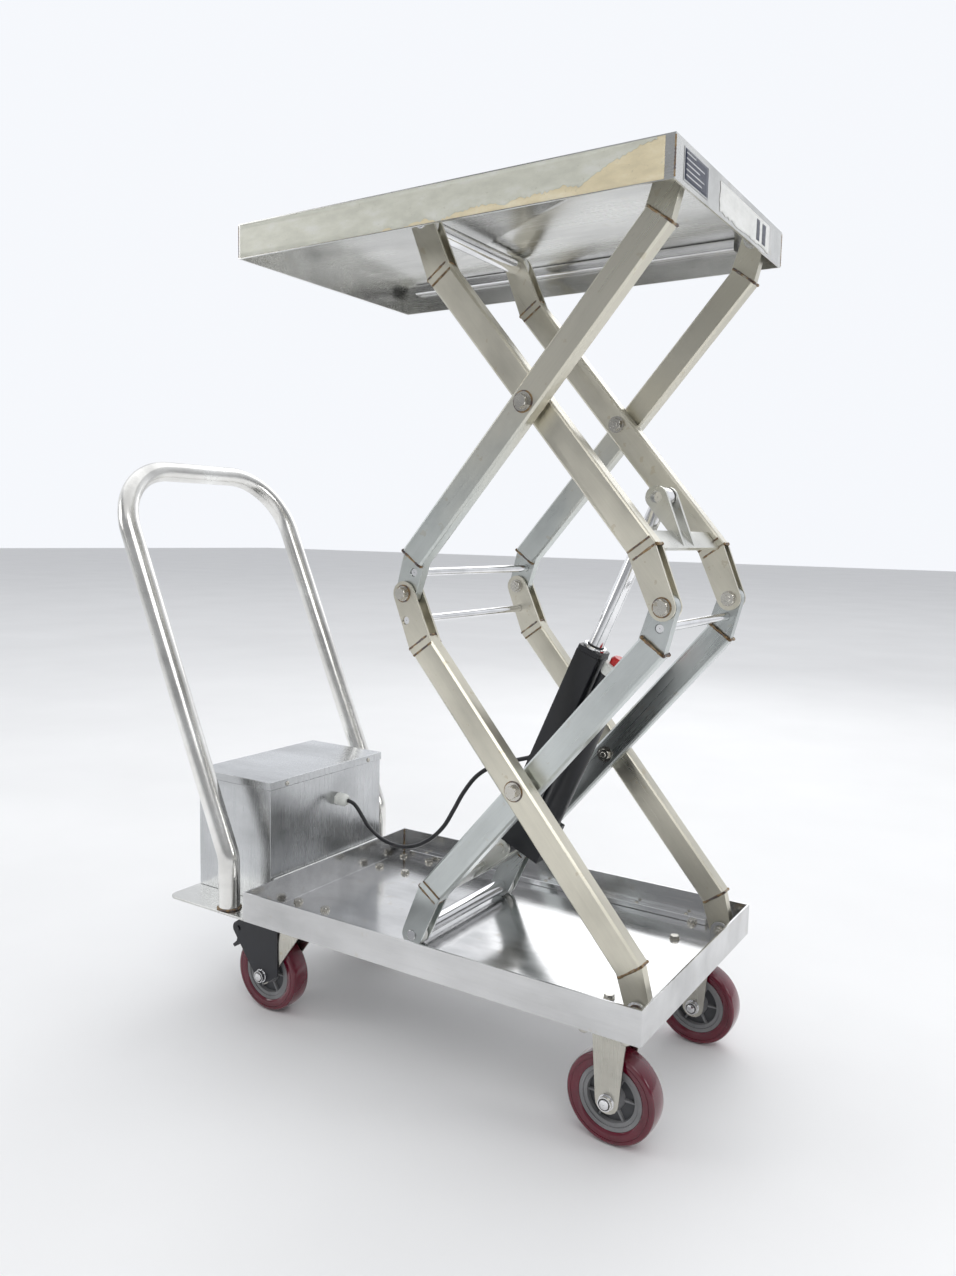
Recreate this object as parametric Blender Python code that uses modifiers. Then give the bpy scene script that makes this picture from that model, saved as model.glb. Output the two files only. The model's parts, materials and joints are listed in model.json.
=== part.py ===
"""Electric double-scissor lift table on four casters, in metres, +Z up.

+X runs along the table towards its fixed casters, and the push handle and the control box are
at -X. The origin is on the ground, at the middle of the whole table's length and width. The
scissors stand raised, which is the rest position of every joint.
"""
import math

import bmesh
import bpy
from mathutils import Matrix, Vector, geometry

# ---------------------------------------------------------------- driving dimensions
OBJECT_NAME = "scissor_lift_table"
GAP = 0.0003                    # between pieces that touch
SHEET = 0.003                   # tray and platform sheet

TRAY_LENGTH = 0.697
TRAY_WIDTH = 0.435
TRAY_WALL = 0.049
TRAY_Z = 0.172                  # underside of the tray above the ground
REAR_REACH = 0.7045             # tray centre to the back of the handle's top bar
WHEEL_RADIUS = 0.065
FRONT_AXLE = 0.2905             # tray centre to the fixed casters' axles
TRAY_X = (REAR_REACH - FRONT_AXLE - WHEEL_RADIUS) / 2

PLATFORM_LENGTH = 0.700
PLATFORM_WIDTH = 0.430
PLATFORM_SKIRT = 0.051
PLATFORM_SHIFT = -0.0035        # platform centre from the tray centre

ARM_REACH = 0.3263              # centre pivot to end pivot
ARM_ANGLE = math.radians(53.8)  # pivot line above level, raised
ARM_SLEW = math.tan(math.radians(4.25))   # tube axis against the pivot line
TUBE_HEIGHT = 0.040
TUBE_WIDTH = 0.025
TUBE_WALL = 0.0025
TUBE_CORNER = 0.003
OUTER_Y = 0.1625                # middle of the outer arms' tubes
INNER_Y = 0.1305                # middle of the inner arms' tubes
FORK_START = 0.254              # tube end at a fork, from the centre pivot
TONGUE_START = 0.278            # tube end at a tongue
END_RADIUS = 0.018
PLATE = 0.004
TONGUE_WIDTH = 0.015
TUBE_OVERLAP = 0.012            # how far an end plate reaches onto its tube
PIVOT_UP = 0.0213               # base pivots above the tray's underside
PIVOT_X = TRAY_X + 0.323        # base pivots and everything above them

PIN_RADIUS = 0.008
ROD_RADIUS = 0.006
ROLLER_RADIUS = 0.018
ROLLER_WIDTH = 0.013
SHAFT_RADIUS = 0.012

WHEEL_WIDTH = 0.036
AXLE_RADIUS = 0.005
CHEEK_IN = 0.0225               # wheel middle to the fork cheek's inner face
CHEEK = 0.003
CASTER_PLATE = (0.080, 0.100, 0.004)
FRONT_CASTER = (TRAY_X + FRONT_AXLE, 0.160)
REAR_CASTER = (TRAY_X - 0.296, 0.150)
TRAIL = 0.051                   # swivel axis to the rear axle

DECK_REACH = 0.532              # tray centre to the deck's rear edge
DECK_PLATE = 0.004
BOX_FRONT = TRAY_X - 0.3564
BOX_REAR = TRAY_X - 0.5285
BOX_WIDTH = 0.294
BOX_TOP = TRAY_Z + 0.215
BOX_SHEET = 0.0015

HANDLE_RADIUS = 0.018
HANDLE_Y = 0.197
HANDLE_FOOT_X = TRAY_X - 0.402
HANDLE_KNEE_Z = TRAY_Z + 0.0916
HANDLE_TOP = Vector((TRAY_X - REAR_REACH + HANDLE_RADIUS, 0, TRAY_Z + 0.739))
HANDLE_BEND = 0.120             # centre-line radius of its two top corners
HANDLE_KNEE = 0.060             # centre-line radius of its two knees

ACTUATOR_TAIL = Vector((-0.1801, 0.0058))   # along and off the inner lower arm, from its centre
ACTUATOR_HEAD = Vector((-0.1719, 0.0338))   # along and off the inner upper arm, from its centre
ACTUATOR_HALF = 0.020
ROD_START = 0.285               # tail pin to the rod's inner end, raised
ACTUATOR_BODY = 0.350           # tail pin to the end of the body
ACTUATOR_GEARS = 0.075          # tail pin to the end of the gear housing
MOTOR_END = 0.335               # tail pin to the end of the motor beside the body
MOTOR_OFF = -0.044              # motor's middle off the actuator's line
MOTOR_RADIUS = 0.021
PISTON_RADIUS = 0.012
LUG = 0.006
LUG_IN = 0.0165                 # actuator middle to a lug's inner face

CABLE_RADIUS = 0.0035

# ---------------------------------------------------------------- stations worked out from them
PIVOT_Z = TRAY_Z + PIVOT_UP
RUN = ARM_REACH * math.cos(ARM_ANGLE)
RISE = ARM_REACH * math.sin(ARM_ANGLE)
BASE_PIVOT = Vector((PIVOT_X, 0, PIVOT_Z))
BASE_ROLLER = Vector((PIVOT_X - 2 * RUN, 0, PIVOT_Z))
LOWER_CENTRE = Vector((PIVOT_X - RUN, 0, PIVOT_Z + RISE))
REAR_MIDDLE = Vector((PIVOT_X - 2 * RUN, 0, PIVOT_Z + 2 * RISE))
FRONT_MIDDLE = Vector((PIVOT_X, 0, PIVOT_Z + 2 * RISE))
UPPER_CENTRE = Vector((PIVOT_X - RUN, 0, PIVOT_Z + 3 * RISE))
TOP_PIVOT = Vector((PIVOT_X, 0, PIVOT_Z + 4 * RISE))
TOP_ROLLER = Vector((PIVOT_X - 2 * RUN, 0, PIVOT_Z + 4 * RISE))
PLATFORM_TOP = TOP_PIVOT.z + PIVOT_UP
PLATFORM_X = TRAY_X + PLATFORM_SHIFT
FLOOR_Z = TRAY_Z + SHEET

# the two ways an arm lies: +X end down (falling) or +X end up (rising)
FALLING = Matrix.Rotation(ARM_ANGLE, 4, "Y")
RISING = Matrix.Rotation(-ARM_ANGLE, 4, "Y")
ACROSS = Matrix.Rotation(math.pi / 2, 4, "X")     # local +Z to world -Y

TAIL = LOWER_CENTRE + RISING @ Vector((ACTUATOR_TAIL.x, 0, ACTUATOR_TAIL.y))
HEAD = UPPER_CENTRE + FALLING @ Vector((-ACTUATOR_HEAD.x, 0, ACTUATOR_HEAD.y))
ACTUATOR_LENGTH = (HEAD - TAIL).length
ACTUATOR_SLOPE = math.atan2(HEAD.z - TAIL.z, HEAD.x - TAIL.x)
ALONG_ACTUATOR = Matrix.Translation(TAIL) @ Matrix.Rotation(-ACTUATOR_SLOPE, 4, "Y")

# ---------------------------------------------------------------- scene, materials, objects
for leftover in list(bpy.data.objects):
    bpy.data.objects.remove(leftover)


def new_collection(name):
    collection = bpy.data.collections.new(name)
    bpy.context.scene.collection.children.link(collection)
    return collection


PARTS = new_collection(OBJECT_NAME)
CUTTERS = new_collection("cutters")


def material(name, colour, roughness, metallic):
    made = bpy.data.materials.new(name)
    made.use_nodes = True
    shader = made.node_tree.nodes["Principled BSDF"]
    shader.inputs["Base Color"].default_value = (*colour, 1)
    shader.inputs["Roughness"].default_value = roughness
    shader.inputs["Metallic"].default_value = metallic
    return made


STEEL = ("stainless", (0.62, 0.63, 0.62), 0.32, 1.0)
ARM_STEEL = ("arm_stainless", (0.66, 0.65, 0.60), 0.38, 1.0)
BRIGHT = ("polished_steel", (0.75, 0.75, 0.76), 0.15, 1.0)
ZINC = ("zinc_plate", (0.55, 0.54, 0.48), 0.40, 1.0)
BLACK = ("black_enamel", (0.012, 0.012, 0.016), 0.45, 0.0)
PLASTIC = ("black_plastic", (0.02, 0.02, 0.022), 0.5, 0.0)
RED = ("red_polyurethane", (0.20, 0.010, 0.025), 0.25, 0.0)
NYLON = ("white_nylon", (0.85, 0.85, 0.82), 0.45, 0.0)
GREY = ("grey_plastic", (0.55, 0.56, 0.55), 0.5, 0.0)
GREEN = ("circuit_green", (0.02, 0.15, 0.06), 0.5, 0.0)


def loose_object(name, data, collection=CUTTERS):
    made = bpy.data.objects.new(name, data)
    collection.objects.link(made)
    return made


def baked(made):
    """The object's evaluated mesh in world space, welded; the object is removed."""
    bpy.context.view_layer.update()
    graph = bpy.context.evaluated_depsgraph_get()
    mesh = bpy.data.meshes.new_from_object(made.evaluated_get(graph), depsgraph=graph)
    mesh.transform(made.matrix_world)
    bpy.data.objects.remove(made)
    work = bmesh.new()
    work.from_mesh(mesh)
    bmesh.ops.remove_doubles(work, verts=work.verts, dist=0.000001)
    work.to_mesh(mesh)
    work.free()
    return mesh


def moved(mesh, matrix):
    """A copy of the mesh, moved by the matrix."""
    made = mesh.copy()
    made.transform(matrix)
    if matrix.determinant() < 0:
        made.flip_normals()
    return made


def shifted(mesh, x=0.0, y=0.0, z=0.0):
    return moved(mesh, Matrix.Translation((x, y, z)))


def mirrored(mesh):
    """The mesh on the other side of the table."""
    return moved(mesh, Matrix.Diagonal((1, -1, 1, 1)))


def boolean(mesh, tools, operation):
    """The mesh joined with, or cut by, each tool in turn."""
    body = loose_object("body", mesh.copy())
    cutters = []
    for index, tool in enumerate(tools):
        cutter = loose_object(f"cutter_{index}", tool)
        cutter.hide_render = True
        cutter.display_type = "WIRE"
        modifier = body.modifiers.new(cutter.name, "BOOLEAN")
        modifier.operation = operation
        modifier.object = cutter
        cutters.append(cutter)
    made = baked(body)
    for cutter in cutters:
        bpy.data.objects.remove(cutter)
    return made


def join(mesh, tools):
    return boolean(mesh, tools, "UNION")


def cut(mesh, tools):
    return boolean(mesh, tools, "DIFFERENCE")


# ---------------------------------------------------------------- basic shapes
def box(low, high):
    """A block between two corners."""
    low, high = Vector(low), Vector(high)
    size = high - low
    place = Matrix.Translation((low + high) / 2) @ Matrix.Diagonal((*size, 1))
    work = bmesh.new()
    bmesh.ops.create_cube(work, size=1, matrix=place)
    made = bpy.data.meshes.new("box")
    work.to_mesh(made)
    work.free()
    return made


def bar(radius, y_from, y_to, x=0.0, z=0.0, sides=20):
    """A round bar along Y, or a hexagonal one with 6 sides."""
    work = bmesh.new()
    place = Matrix.Translation((x, (y_from + y_to) / 2, z)) @ ACROSS
    bmesh.ops.create_cone(work, cap_ends=True, segments=sides, radius1=radius, radius2=radius,
                          depth=abs(y_to - y_from), matrix=place)
    made = bpy.data.meshes.new("bar")
    work.to_mesh(made)
    work.free()
    return made


def flat_curve(outlines, thickness):
    """A filled flat outline in the XY plane; outlines after the first are holes."""
    curve = bpy.data.curves.new("outline", "CURVE")
    curve.dimensions = "2D"
    curve.fill_mode = "BOTH"
    curve.extrude = thickness / 2
    for outline in outlines:
        spline = curve.splines.new("POLY")
        spline.points.add(len(outline) - 1)
        for point, (x, y) in zip(spline.points, outline):
            point.co = (x, y, 0, 1)
        spline.use_cyclic_u = True
    return baked(loose_object("outline", curve))


def plate_level(outline, z_from, z_to, holes=()):
    """A flat plate that lies level, outlined in X and Y."""
    mesh = flat_curve([outline, *holes], z_to - z_from)
    return shifted(mesh, z=(z_from + z_to) / 2)


def plate_upright(outline, y_from, y_to):
    """A flat plate that stands along the table, outlined in X and Z."""
    mesh = moved(flat_curve([outline], abs(y_to - y_from)), ACROSS)
    return shifted(mesh, y=(y_from + y_to) / 2)


def arc(centre, radius, start, end, steps):
    """Points on an arc, angles in degrees."""
    points = []
    for index in range(steps + 1):
        angle = math.radians(start + (end - start) * index / steps)
        points.append((centre[0] + radius * math.cos(angle), centre[1] + radius * math.sin(angle)))
    return points


def circle(centre, radius, steps=20):
    return arc(centre, radius, 0, 360 - 360 / steps, steps - 1)


def rounded(x_from, x_to, y_from, y_to, radius, steps=3):
    """A rectangle with round corners."""
    points = []
    corners = ((x_to, y_to, 0), (x_from, y_to, 90), (x_from, y_from, 180), (x_to, y_from, 270))
    for x, y, start in corners:
        centre = (x - math.copysign(radius, x - (x_from + x_to) / 2),
                  y - math.copysign(radius, y - (y_from + y_to) / 2))
        points += arc(centre, radius, start, start + 90, steps)
    return points


def wrapped(points):
    """The convex outline round a set of flat points."""
    order = geometry.convex_hull_2d([Vector(point) for point in points])
    return [points[index] for index in order]


def turned(profile, steps=24):
    """A solid turned about Y; the profile gives (radius, y) from the axis out and back."""
    mesh = bpy.data.meshes.new("profile")
    points = [(radius, 0, -y) for radius, y in profile]
    edges = [(index, index + 1) for index in range(len(points) - 1)]
    mesh.from_pydata(points, edges, [])
    spun = loose_object("turned", mesh)
    spun.rotation_euler.x = math.pi / 2
    screw = spun.modifiers.new("turn", "SCREW")
    screw.steps = steps
    screw.render_steps = steps
    screw.use_merge_vertices = True
    screw.merge_threshold = 0.00001
    made = baked(spun)
    work = bmesh.new()
    work.from_mesh(made)
    bmesh.ops.recalc_face_normals(work, faces=work.faces)
    work.to_mesh(made)
    work.free()
    return made


def tube(points, radius, resolution):
    """A round bar or cable along a list of points."""
    curve = bpy.data.curves.new("tube", "CURVE")
    curve.dimensions = "3D"
    curve.bevel_depth = radius
    curve.bevel_resolution = resolution
    curve.use_fill_caps = True
    spline = curve.splines.new("POLY")
    spline.points.add(len(points) - 1)
    for point, place in zip(spline.points, points):
        point.co = (*place, 1)
    return baked(loose_object("tube", curve))


# ---------------------------------------------------------------- bodies and finished parts
EMPTIES = {}


def add_body(name, place, parent=None):
    """An empty on a joint's axis, which carries the pieces that move together."""
    empty = bpy.data.objects.new(f"body_{name}", None)
    PARTS.objects.link(empty)
    empty.empty_display_size = 0.03
    empty["place"] = tuple(place)
    empty.location = Vector(place)
    if parent:
        empty.parent = EMPTIES[parent]
        empty.location -= Vector(EMPTIES[parent]["place"])
    EMPTIES[name] = empty


def add_part(name, mesh, finish, body="root"):
    """A finished part, with its origin on its body's joint axis."""
    origin = Vector(EMPTIES[body]["place"])
    mesh.transform(Matrix.Translation(-origin))
    mesh.name = name
    made = loose_object(name, mesh, PARTS)
    made.parent = EMPTIES[body]
    known = bpy.data.materials.get(finish[0])
    mesh.materials.clear()
    mesh.materials.append(known or material(*finish))
    mesh.shade_smooth()
    mesh.set_sharp_from_angle(angle=math.radians(35))
    return made


def add_pair(name, mesh, finish, body="root"):
    """A part on the right of the table and its mirror image on the left."""
    add_part(f"{name}_left", mirrored(mesh), finish, body)
    add_part(f"{name}_right", mesh, finish, body)


def add_bodies():
    add_body("root", (0, 0, 0))
    add_body("outer_lower_arms", BASE_PIVOT, "root")
    add_body("inner_lower_arms", LOWER_CENTRE, "outer_lower_arms")
    add_body("outer_upper_arms", REAR_MIDDLE, "outer_lower_arms")
    add_body("inner_upper_arms", UPPER_CENTRE, "outer_upper_arms")
    add_body("platform", TOP_PIVOT, "outer_upper_arms")
    add_body("lower_rollers", BASE_ROLLER, "inner_lower_arms")
    add_body("upper_rollers", TOP_ROLLER, "inner_upper_arms")
    add_body("actuator_body", TAIL, "inner_lower_arms")
    add_body("actuator_rod", TAIL, "actuator_body")
    for side, sign in (("left", -1), ("right", 1)):
        x, y = FRONT_CASTER
        add_body(f"front_wheel_{side}", (x, sign * y, WHEEL_RADIUS), "root")
        x, y = REAR_CASTER
        add_body(f"swivel_{side}", (x, sign * y, TRAY_Z), "root")
        add_body(f"rear_wheel_{side}", (x - TRAIL, sign * y, WHEEL_RADIUS), f"swivel_{side}")
        add_body(f"brake_{side}", brake_pivot(sign), f"swivel_{side}")


# ---------------------------------------------------------------- scissor arms
def arm_end(start, toward):
    """Outline of an end plate, from the tube's end at start to the pivot, for the +X end."""
    slew = ARM_SLEW * toward
    tube_points = []
    for along in (start - TUBE_OVERLAP, start):
        for half in (-1, 1):
            offset = half * (TUBE_HEIGHT / 2 - 0.001)
            tube_points.append((along - offset * slew, along * slew + offset))
    return wrapped(tube_points + circle((ARM_REACH, 0), END_RADIUS, 18))


def opposite(outline):
    """The same outline at the -X end, turned half round the centre pivot."""
    return [(-x, -y) for x, y in outline]


def arm(turn, toward, place, side, ends, rods):
    """One arm: a tube, its end plates, and its pivot and rod holes.

    toward is +1 where the tube rises towards +X against the pivot line, side is the middle of
    the tube in Y, and ends names the fitting at -X and at +X.
    """
    starts = {"fork": FORK_START, "tongue": TONGUE_START}
    slant = math.atan(ARM_SLEW * toward)
    low, high = -starts[ends[0]] / math.cos(slant), starts[ends[1]] / math.cos(slant)
    outer = rounded(-TUBE_HEIGHT / 2, TUBE_HEIGHT / 2, -TUBE_WIDTH / 2, TUBE_WIDTH / 2, TUBE_CORNER, 1)
    height, width = TUBE_HEIGHT / 2 - TUBE_WALL, TUBE_WIDTH / 2 - TUBE_WALL
    inner = rounded(-height, height, -width, width, 0.001, 1)
    section = flat_curve([outer, inner], high - low)
    lying = Matrix.Rotation(math.pi / 2, 4, "Y")
    body = moved(section, Matrix.Rotation(-slant, 4, "Y")
                 @ Matrix.Translation(((low + high) / 2, 0, 0)) @ lying)
    plates = []
    for kind, is_low in zip(ends, (True, False)):
        outline = arm_end(starts[kind], toward)
        outline = opposite(outline) if is_low else outline
        if kind == "tongue":
            plates.append(plate_upright(outline, -TONGUE_WIDTH / 2, TONGUE_WIDTH / 2))
        else:
            outside = TUBE_WIDTH / 2 + 0.0005
            plates.append(plate_upright(outline, outside - PLATE, outside))
            plates.append(plate_upright(outline, -outside, -outside + PLATE))
    body = join(body, plates)
    holes = [bar(PIN_RADIUS + GAP, -0.02, 0.02, along, 0, 14) for along in (-ARM_REACH, 0, ARM_REACH)]
    holes += [bar(ROD_RADIUS + GAP, -0.02, 0.02, x, z, 14) for x, z in rods]
    body = cut(body, holes)
    return moved(body, Matrix.Translation((place.x, side, place.z)) @ turn)


def local_place(turn, place, point):
    """A world point in an arm's own frame, as (along, off)."""
    flat = turn.inverted() @ (point - place)
    return flat.x, flat.z


OUTER_LOWER_ROD = REAR_MIDDLE + Vector((0.005, 0, -0.039))
OUTER_UPPER_ROD = REAR_MIDDLE + Vector((0.014, 0, 0.031))
INNER_LOWER_ROD = FRONT_MIDDLE + Vector((-0.004, 0, -0.0275))

# name, way it lies, side the tube slews to, centre, middle in Y, -X and +X ends, tie rod, body
ARMS = (
    ("outer_lower_arm", FALLING, 1, LOWER_CENTRE, OUTER_Y, ("fork", "tongue"), OUTER_LOWER_ROD),
    ("inner_lower_arm", RISING, -1, LOWER_CENTRE, INNER_Y, ("fork", "tongue"), INNER_LOWER_ROD),
    ("outer_upper_arm", RISING, -1, UPPER_CENTRE, OUTER_Y, ("tongue", "tongue"), OUTER_UPPER_ROD),
    ("inner_upper_arm", FALLING, 1, UPPER_CENTRE, INNER_Y, ("fork", "fork"), None),
)


def build_arms():
    for name, turn, toward, place, side, ends, rod in ARMS:
        rods = [local_place(turn, place, rod)] if rod else []
        add_pair(name, arm(turn, toward, place, side, ends, rods), ARM_STEEL, f"{name}s")
    outer_end = OUTER_Y + TUBE_WIDTH / 2 - 0.002
    inner_end = INNER_Y + TONGUE_WIDTH / 2 - 0.001
    for name, place, reach, body in (
            ("outer_lower_tie_rod", OUTER_LOWER_ROD, outer_end, "outer_lower_arms"),
            ("outer_upper_tie_rod", OUTER_UPPER_ROD, OUTER_Y + TONGUE_WIDTH / 2 - 0.002, "outer_upper_arms"),
            ("inner_lower_tie_rod", INNER_LOWER_ROD, inner_end, "inner_lower_arms")):
        add_part(name, bar(ROD_RADIUS, -reach, reach, place.x, place.z, 10), BRIGHT, body)


def pivot_pin(place, y_from, y_to, collar=None):
    """A pin along Y with a thin flange at each end, and a collar between two tubes."""
    shank = bar(PIN_RADIUS, y_from - 0.001, y_to + 0.001, place.x, place.z, 12)
    ends = [bar(0.0115, y_from - 0.003, y_from, place.x, place.z, 12),
            bar(0.0115, y_to, y_to + 0.003, place.x, place.z, 12)]
    if collar:
        ends.append(bar(0.0135, *collar, place.x, place.z, 12))
    return join(shank, ends)


def centre_pin(place):
    """The pin through an outer and an inner tube where they cross."""
    between = (INNER_Y + TUBE_WIDTH / 2 + 0.0008, OUTER_Y - TUBE_WIDTH / 2 - 0.0008)
    return pivot_pin(place, INNER_Y - TUBE_WIDTH / 2 - GAP, OUTER_Y + TUBE_WIDTH / 2 + GAP, between)


def end_pin(place, side, half):
    """The pin through a fork or a bracket and the tongue in it."""
    return pivot_pin(place, side - half - GAP, side + half + GAP)


def build_pivots():
    fork = TUBE_WIDTH / 2 + 0.0005
    add_pair("lower_centre_pin", centre_pin(LOWER_CENTRE), STEEL, "outer_lower_arms")
    add_pair("rear_middle_pin", end_pin(REAR_MIDDLE, OUTER_Y, fork), STEEL, "outer_lower_arms")
    add_pair("upper_centre_pin", centre_pin(UPPER_CENTRE), STEEL, "inner_upper_arms")
    add_pair("front_middle_pin", end_pin(FRONT_MIDDLE, INNER_Y, fork), STEEL, "inner_upper_arms")
    add_pair("base_pivot_pin", end_pin(BASE_PIVOT, OUTER_Y, BRACKET_OUT), STEEL)
    add_pair("platform_pivot_pin", end_pin(TOP_PIVOT, OUTER_Y, BRACKET_OUT), STEEL, "platform")


# ---------------------------------------------------------------- rollers
def roller_shaft(place):
    """A shaft between the inner arms' forks, turned down to a pin through each fork."""
    shoulder = INNER_Y - TUBE_WIDTH / 2 - 0.0005 - GAP
    end = INNER_Y + TUBE_WIDTH / 2 + 0.003
    profile = [(0, -end), (PIN_RADIUS, -end), (PIN_RADIUS, -shoulder), (SHAFT_RADIUS, -shoulder),
               (SHAFT_RADIUS, shoulder), (PIN_RADIUS, shoulder), (PIN_RADIUS, end), (0, end)]
    return shifted(turned(profile, 14), place.x, 0, place.z)


def roller(place):
    """A plain bored roller with chamfered rims."""
    half = ROLLER_WIDTH / 2
    bore = PIN_RADIUS + GAP
    profile = [(bore, -half), (ROLLER_RADIUS - 0.002, -half), (ROLLER_RADIUS, -half + 0.002),
               (ROLLER_RADIUS, half - 0.002), (ROLLER_RADIUS - 0.002, half), (bore, half), (bore, -half)]
    return shifted(turned(profile, 16), place.x, INNER_Y, place.z)


def build_rollers():
    for level, place, arms in (("lower", BASE_ROLLER, "inner_lower_arms"),
                               ("upper", TOP_ROLLER, "inner_upper_arms")):
        add_part(f"{level}_roller_shaft", roller_shaft(place), BRIGHT, arms)
        add_pair(f"{level}_roller", roller(place), NYLON, f"{level}_rollers")


# ---------------------------------------------------------------- base tray, deck and rails
def pan(length, width, wall, centre_x, floor_z, upward):
    """An open pan of folded sheet, its floor outside at floor_z and its walls up or down."""
    x, y = length / 2, width / 2
    top = floor_z + upward * wall
    outside = box((centre_x - x, -y, min(floor_z, top)), (centre_x + x, y, max(floor_z, top)))
    inner_floor = floor_z + upward * SHEET
    beyond = top + upward * 0.01
    inside = box((centre_x - x + SHEET, -y + SHEET, min(inner_floor, beyond)),
                 (centre_x + x - SHEET, y - SHEET, max(inner_floor, beyond)))
    return cut(outside, [inside])


BRACKET_IN = 0.0085             # bracket cheek's inner face from the outer arm's middle
BRACKET_OUT = 0.0125
CASTER_BOLT = 0.004
CASTER_BOLT_SPACING = (0.030, 0.0385)


def with_pivot_brackets(sheet, place, upward, face_z):
    """A pan with the cheeks welded on that hold the outer arms' ends."""
    root_z = face_z - upward * 0.001
    base = [(place.x - 0.017, root_z), (place.x + 0.017, root_z)]
    outline = wrapped(base + circle((place.x, place.z), 0.0145, 16))
    plates = []
    holes = []
    for side in (-1, 1):
        for offset in (-1, 1):
            near = side * OUTER_Y + offset * BRACKET_IN
            plates.append(plate_upright(outline, near, side * OUTER_Y + offset * BRACKET_OUT))
        middle = side * OUTER_Y
        holes.append(bar(PIN_RADIUS + GAP, middle - 0.03, middle + 0.03, place.x, place.z, 14))
    return cut(join(sheet, plates), holes)


def upright_bar(x, y, radius, z_from, z_to, sides):
    """A round bar that stands upright."""
    work = bmesh.new()
    place = Matrix.Translation((x, y, (z_from + z_to) / 2))
    bmesh.ops.create_cone(work, cap_ends=True, segments=sides, radius1=radius, radius2=radius,
                          depth=z_to - z_from, matrix=place)
    made = bpy.data.meshes.new("upright_bar")
    work.to_mesh(made)
    work.free()
    return made


def build_base():
    tray = pan(TRAY_LENGTH, TRAY_WIDTH, TRAY_WALL, TRAY_X, TRAY_Z, 1)
    add_part("base_tray", with_pivot_brackets(tray, BASE_PIVOT, 1, FLOOR_Z), STEEL)

    rear, front = TRAY_X - DECK_REACH, TRAY_X - TRAY_LENGTH / 2 - GAP
    half = TRAY_WIDTH / 2
    outline = arc((rear + 0.018, half - 0.018), 0.018, 90, 180, 6)
    outline += arc((rear + 0.018, -half + 0.018), 0.018, 180, 270, 6)
    outline += [(front, -half), (front, half)]
    add_part("rear_deck_plate", plate_level(outline, TRAY_Z, TRAY_Z + DECK_PLATE), STEEL)

    inside = TRAY_WIDTH / 2 - SHEET - GAP
    rail = box((TRAY_X - 0.322, inside - 0.014, FLOOR_Z + GAP), (PIVOT_X - 0.040, inside, FLOOR_Z + 0.010))
    add_pair("guide_rail", rail, STEEL)


# ---------------------------------------------------------------- platform
def build_platform():
    sheet = pan(PLATFORM_LENGTH, PLATFORM_WIDTH, PLATFORM_SKIRT, PLATFORM_X, PLATFORM_TOP, -1)
    sheet = with_pivot_brackets(sheet, TOP_PIVOT, -1, PLATFORM_TOP - SHEET)
    add_part("platform_top", sheet, STEEL, "platform")


# ---------------------------------------------------------------- casters
CASTER_TOP = TRAY_Z - GAP
CASTER_UNDER = CASTER_TOP - CASTER_PLATE[2]
YOKE_TOP = CASTER_UNDER - 0.012
CHEEK_OUT = CHEEK_IN + CHEEK
COVER_IN = CHEEK_OUT + 0.0006
COVER_OUT = COVER_IN + 0.002
BRAKE_PIN = 0.0042


def brake_pivot(sign):
    x, y = REAR_CASTER
    return (x - TRAIL - 0.055, sign * y, WHEEL_RADIUS + 0.069)


def wheel():
    """A cored wheel with a cast tread, turned about Y, its middle at the origin."""
    half, core = WHEEL_WIDTH / 2, 0.046
    side = [(AXLE_RADIUS + GAP, 0.0200), (0.015, 0.0200), (0.018, 0.006), (core - 0.004, 0.006),
            (core, half - 0.002), (WHEEL_RADIUS - 0.006, half), (WHEEL_RADIUS, half - 0.010)]
    profile = [(radius, -y) for radius, y in side] + list(reversed(side)) + [(side[0][0], -side[0][1])]
    return turned(profile, 24)


def caster_plate(x, y):
    length, width, thick = CASTER_PLATE
    outline = rounded(x - length / 2, x + length / 2, y - width / 2, y + width / 2, 0.008, 2)
    holes = [circle((x + along * CASTER_BOLT_SPACING[0], y + across * CASTER_BOLT_SPACING[1]),
                    CASTER_BOLT + GAP, 8) for along in (-1, 1) for across in (-1, 1)]
    return plate_level(outline, CASTER_TOP - thick, CASTER_TOP, holes)


def cheeks(outline, y):
    """Two fork cheeks from a shared outline."""
    return [plate_upright(outline, y + side * CHEEK_IN, y + side * CHEEK_OUT) for side in (-1, 1)]


def axle(x, y, reach):
    """An axle bolt with a hexagon head and nut, reach from the wheel's middle to each."""
    shank = bar(AXLE_RADIUS, y - reach - 0.008, y + reach + 0.002, x, WHEEL_RADIUS, 12)
    heads = [bar(0.009, y + reach, y + reach + 0.005, x, WHEEL_RADIUS, 6),
             bar(0.009, y - reach - 0.006, y - reach, x, WHEEL_RADIUS, 6)]
    return join(shank, heads)


def fixed_fork(x, y):
    top = CASTER_UNDER + 0.001
    outline = wrapped([(x - 0.025, top), (x + 0.025, top)] + circle((x, WHEEL_RADIUS), 0.017, 16))
    bridge = box((x - 0.024, y - CHEEK_OUT, CASTER_UNDER - 0.003), (x + 0.024, y + CHEEK_OUT, top))
    fork = join(caster_plate(x, y), cheeks(outline, y) + [bridge])
    return join(fork, [axle(x, y, CHEEK_OUT - 0.0005)])


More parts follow.
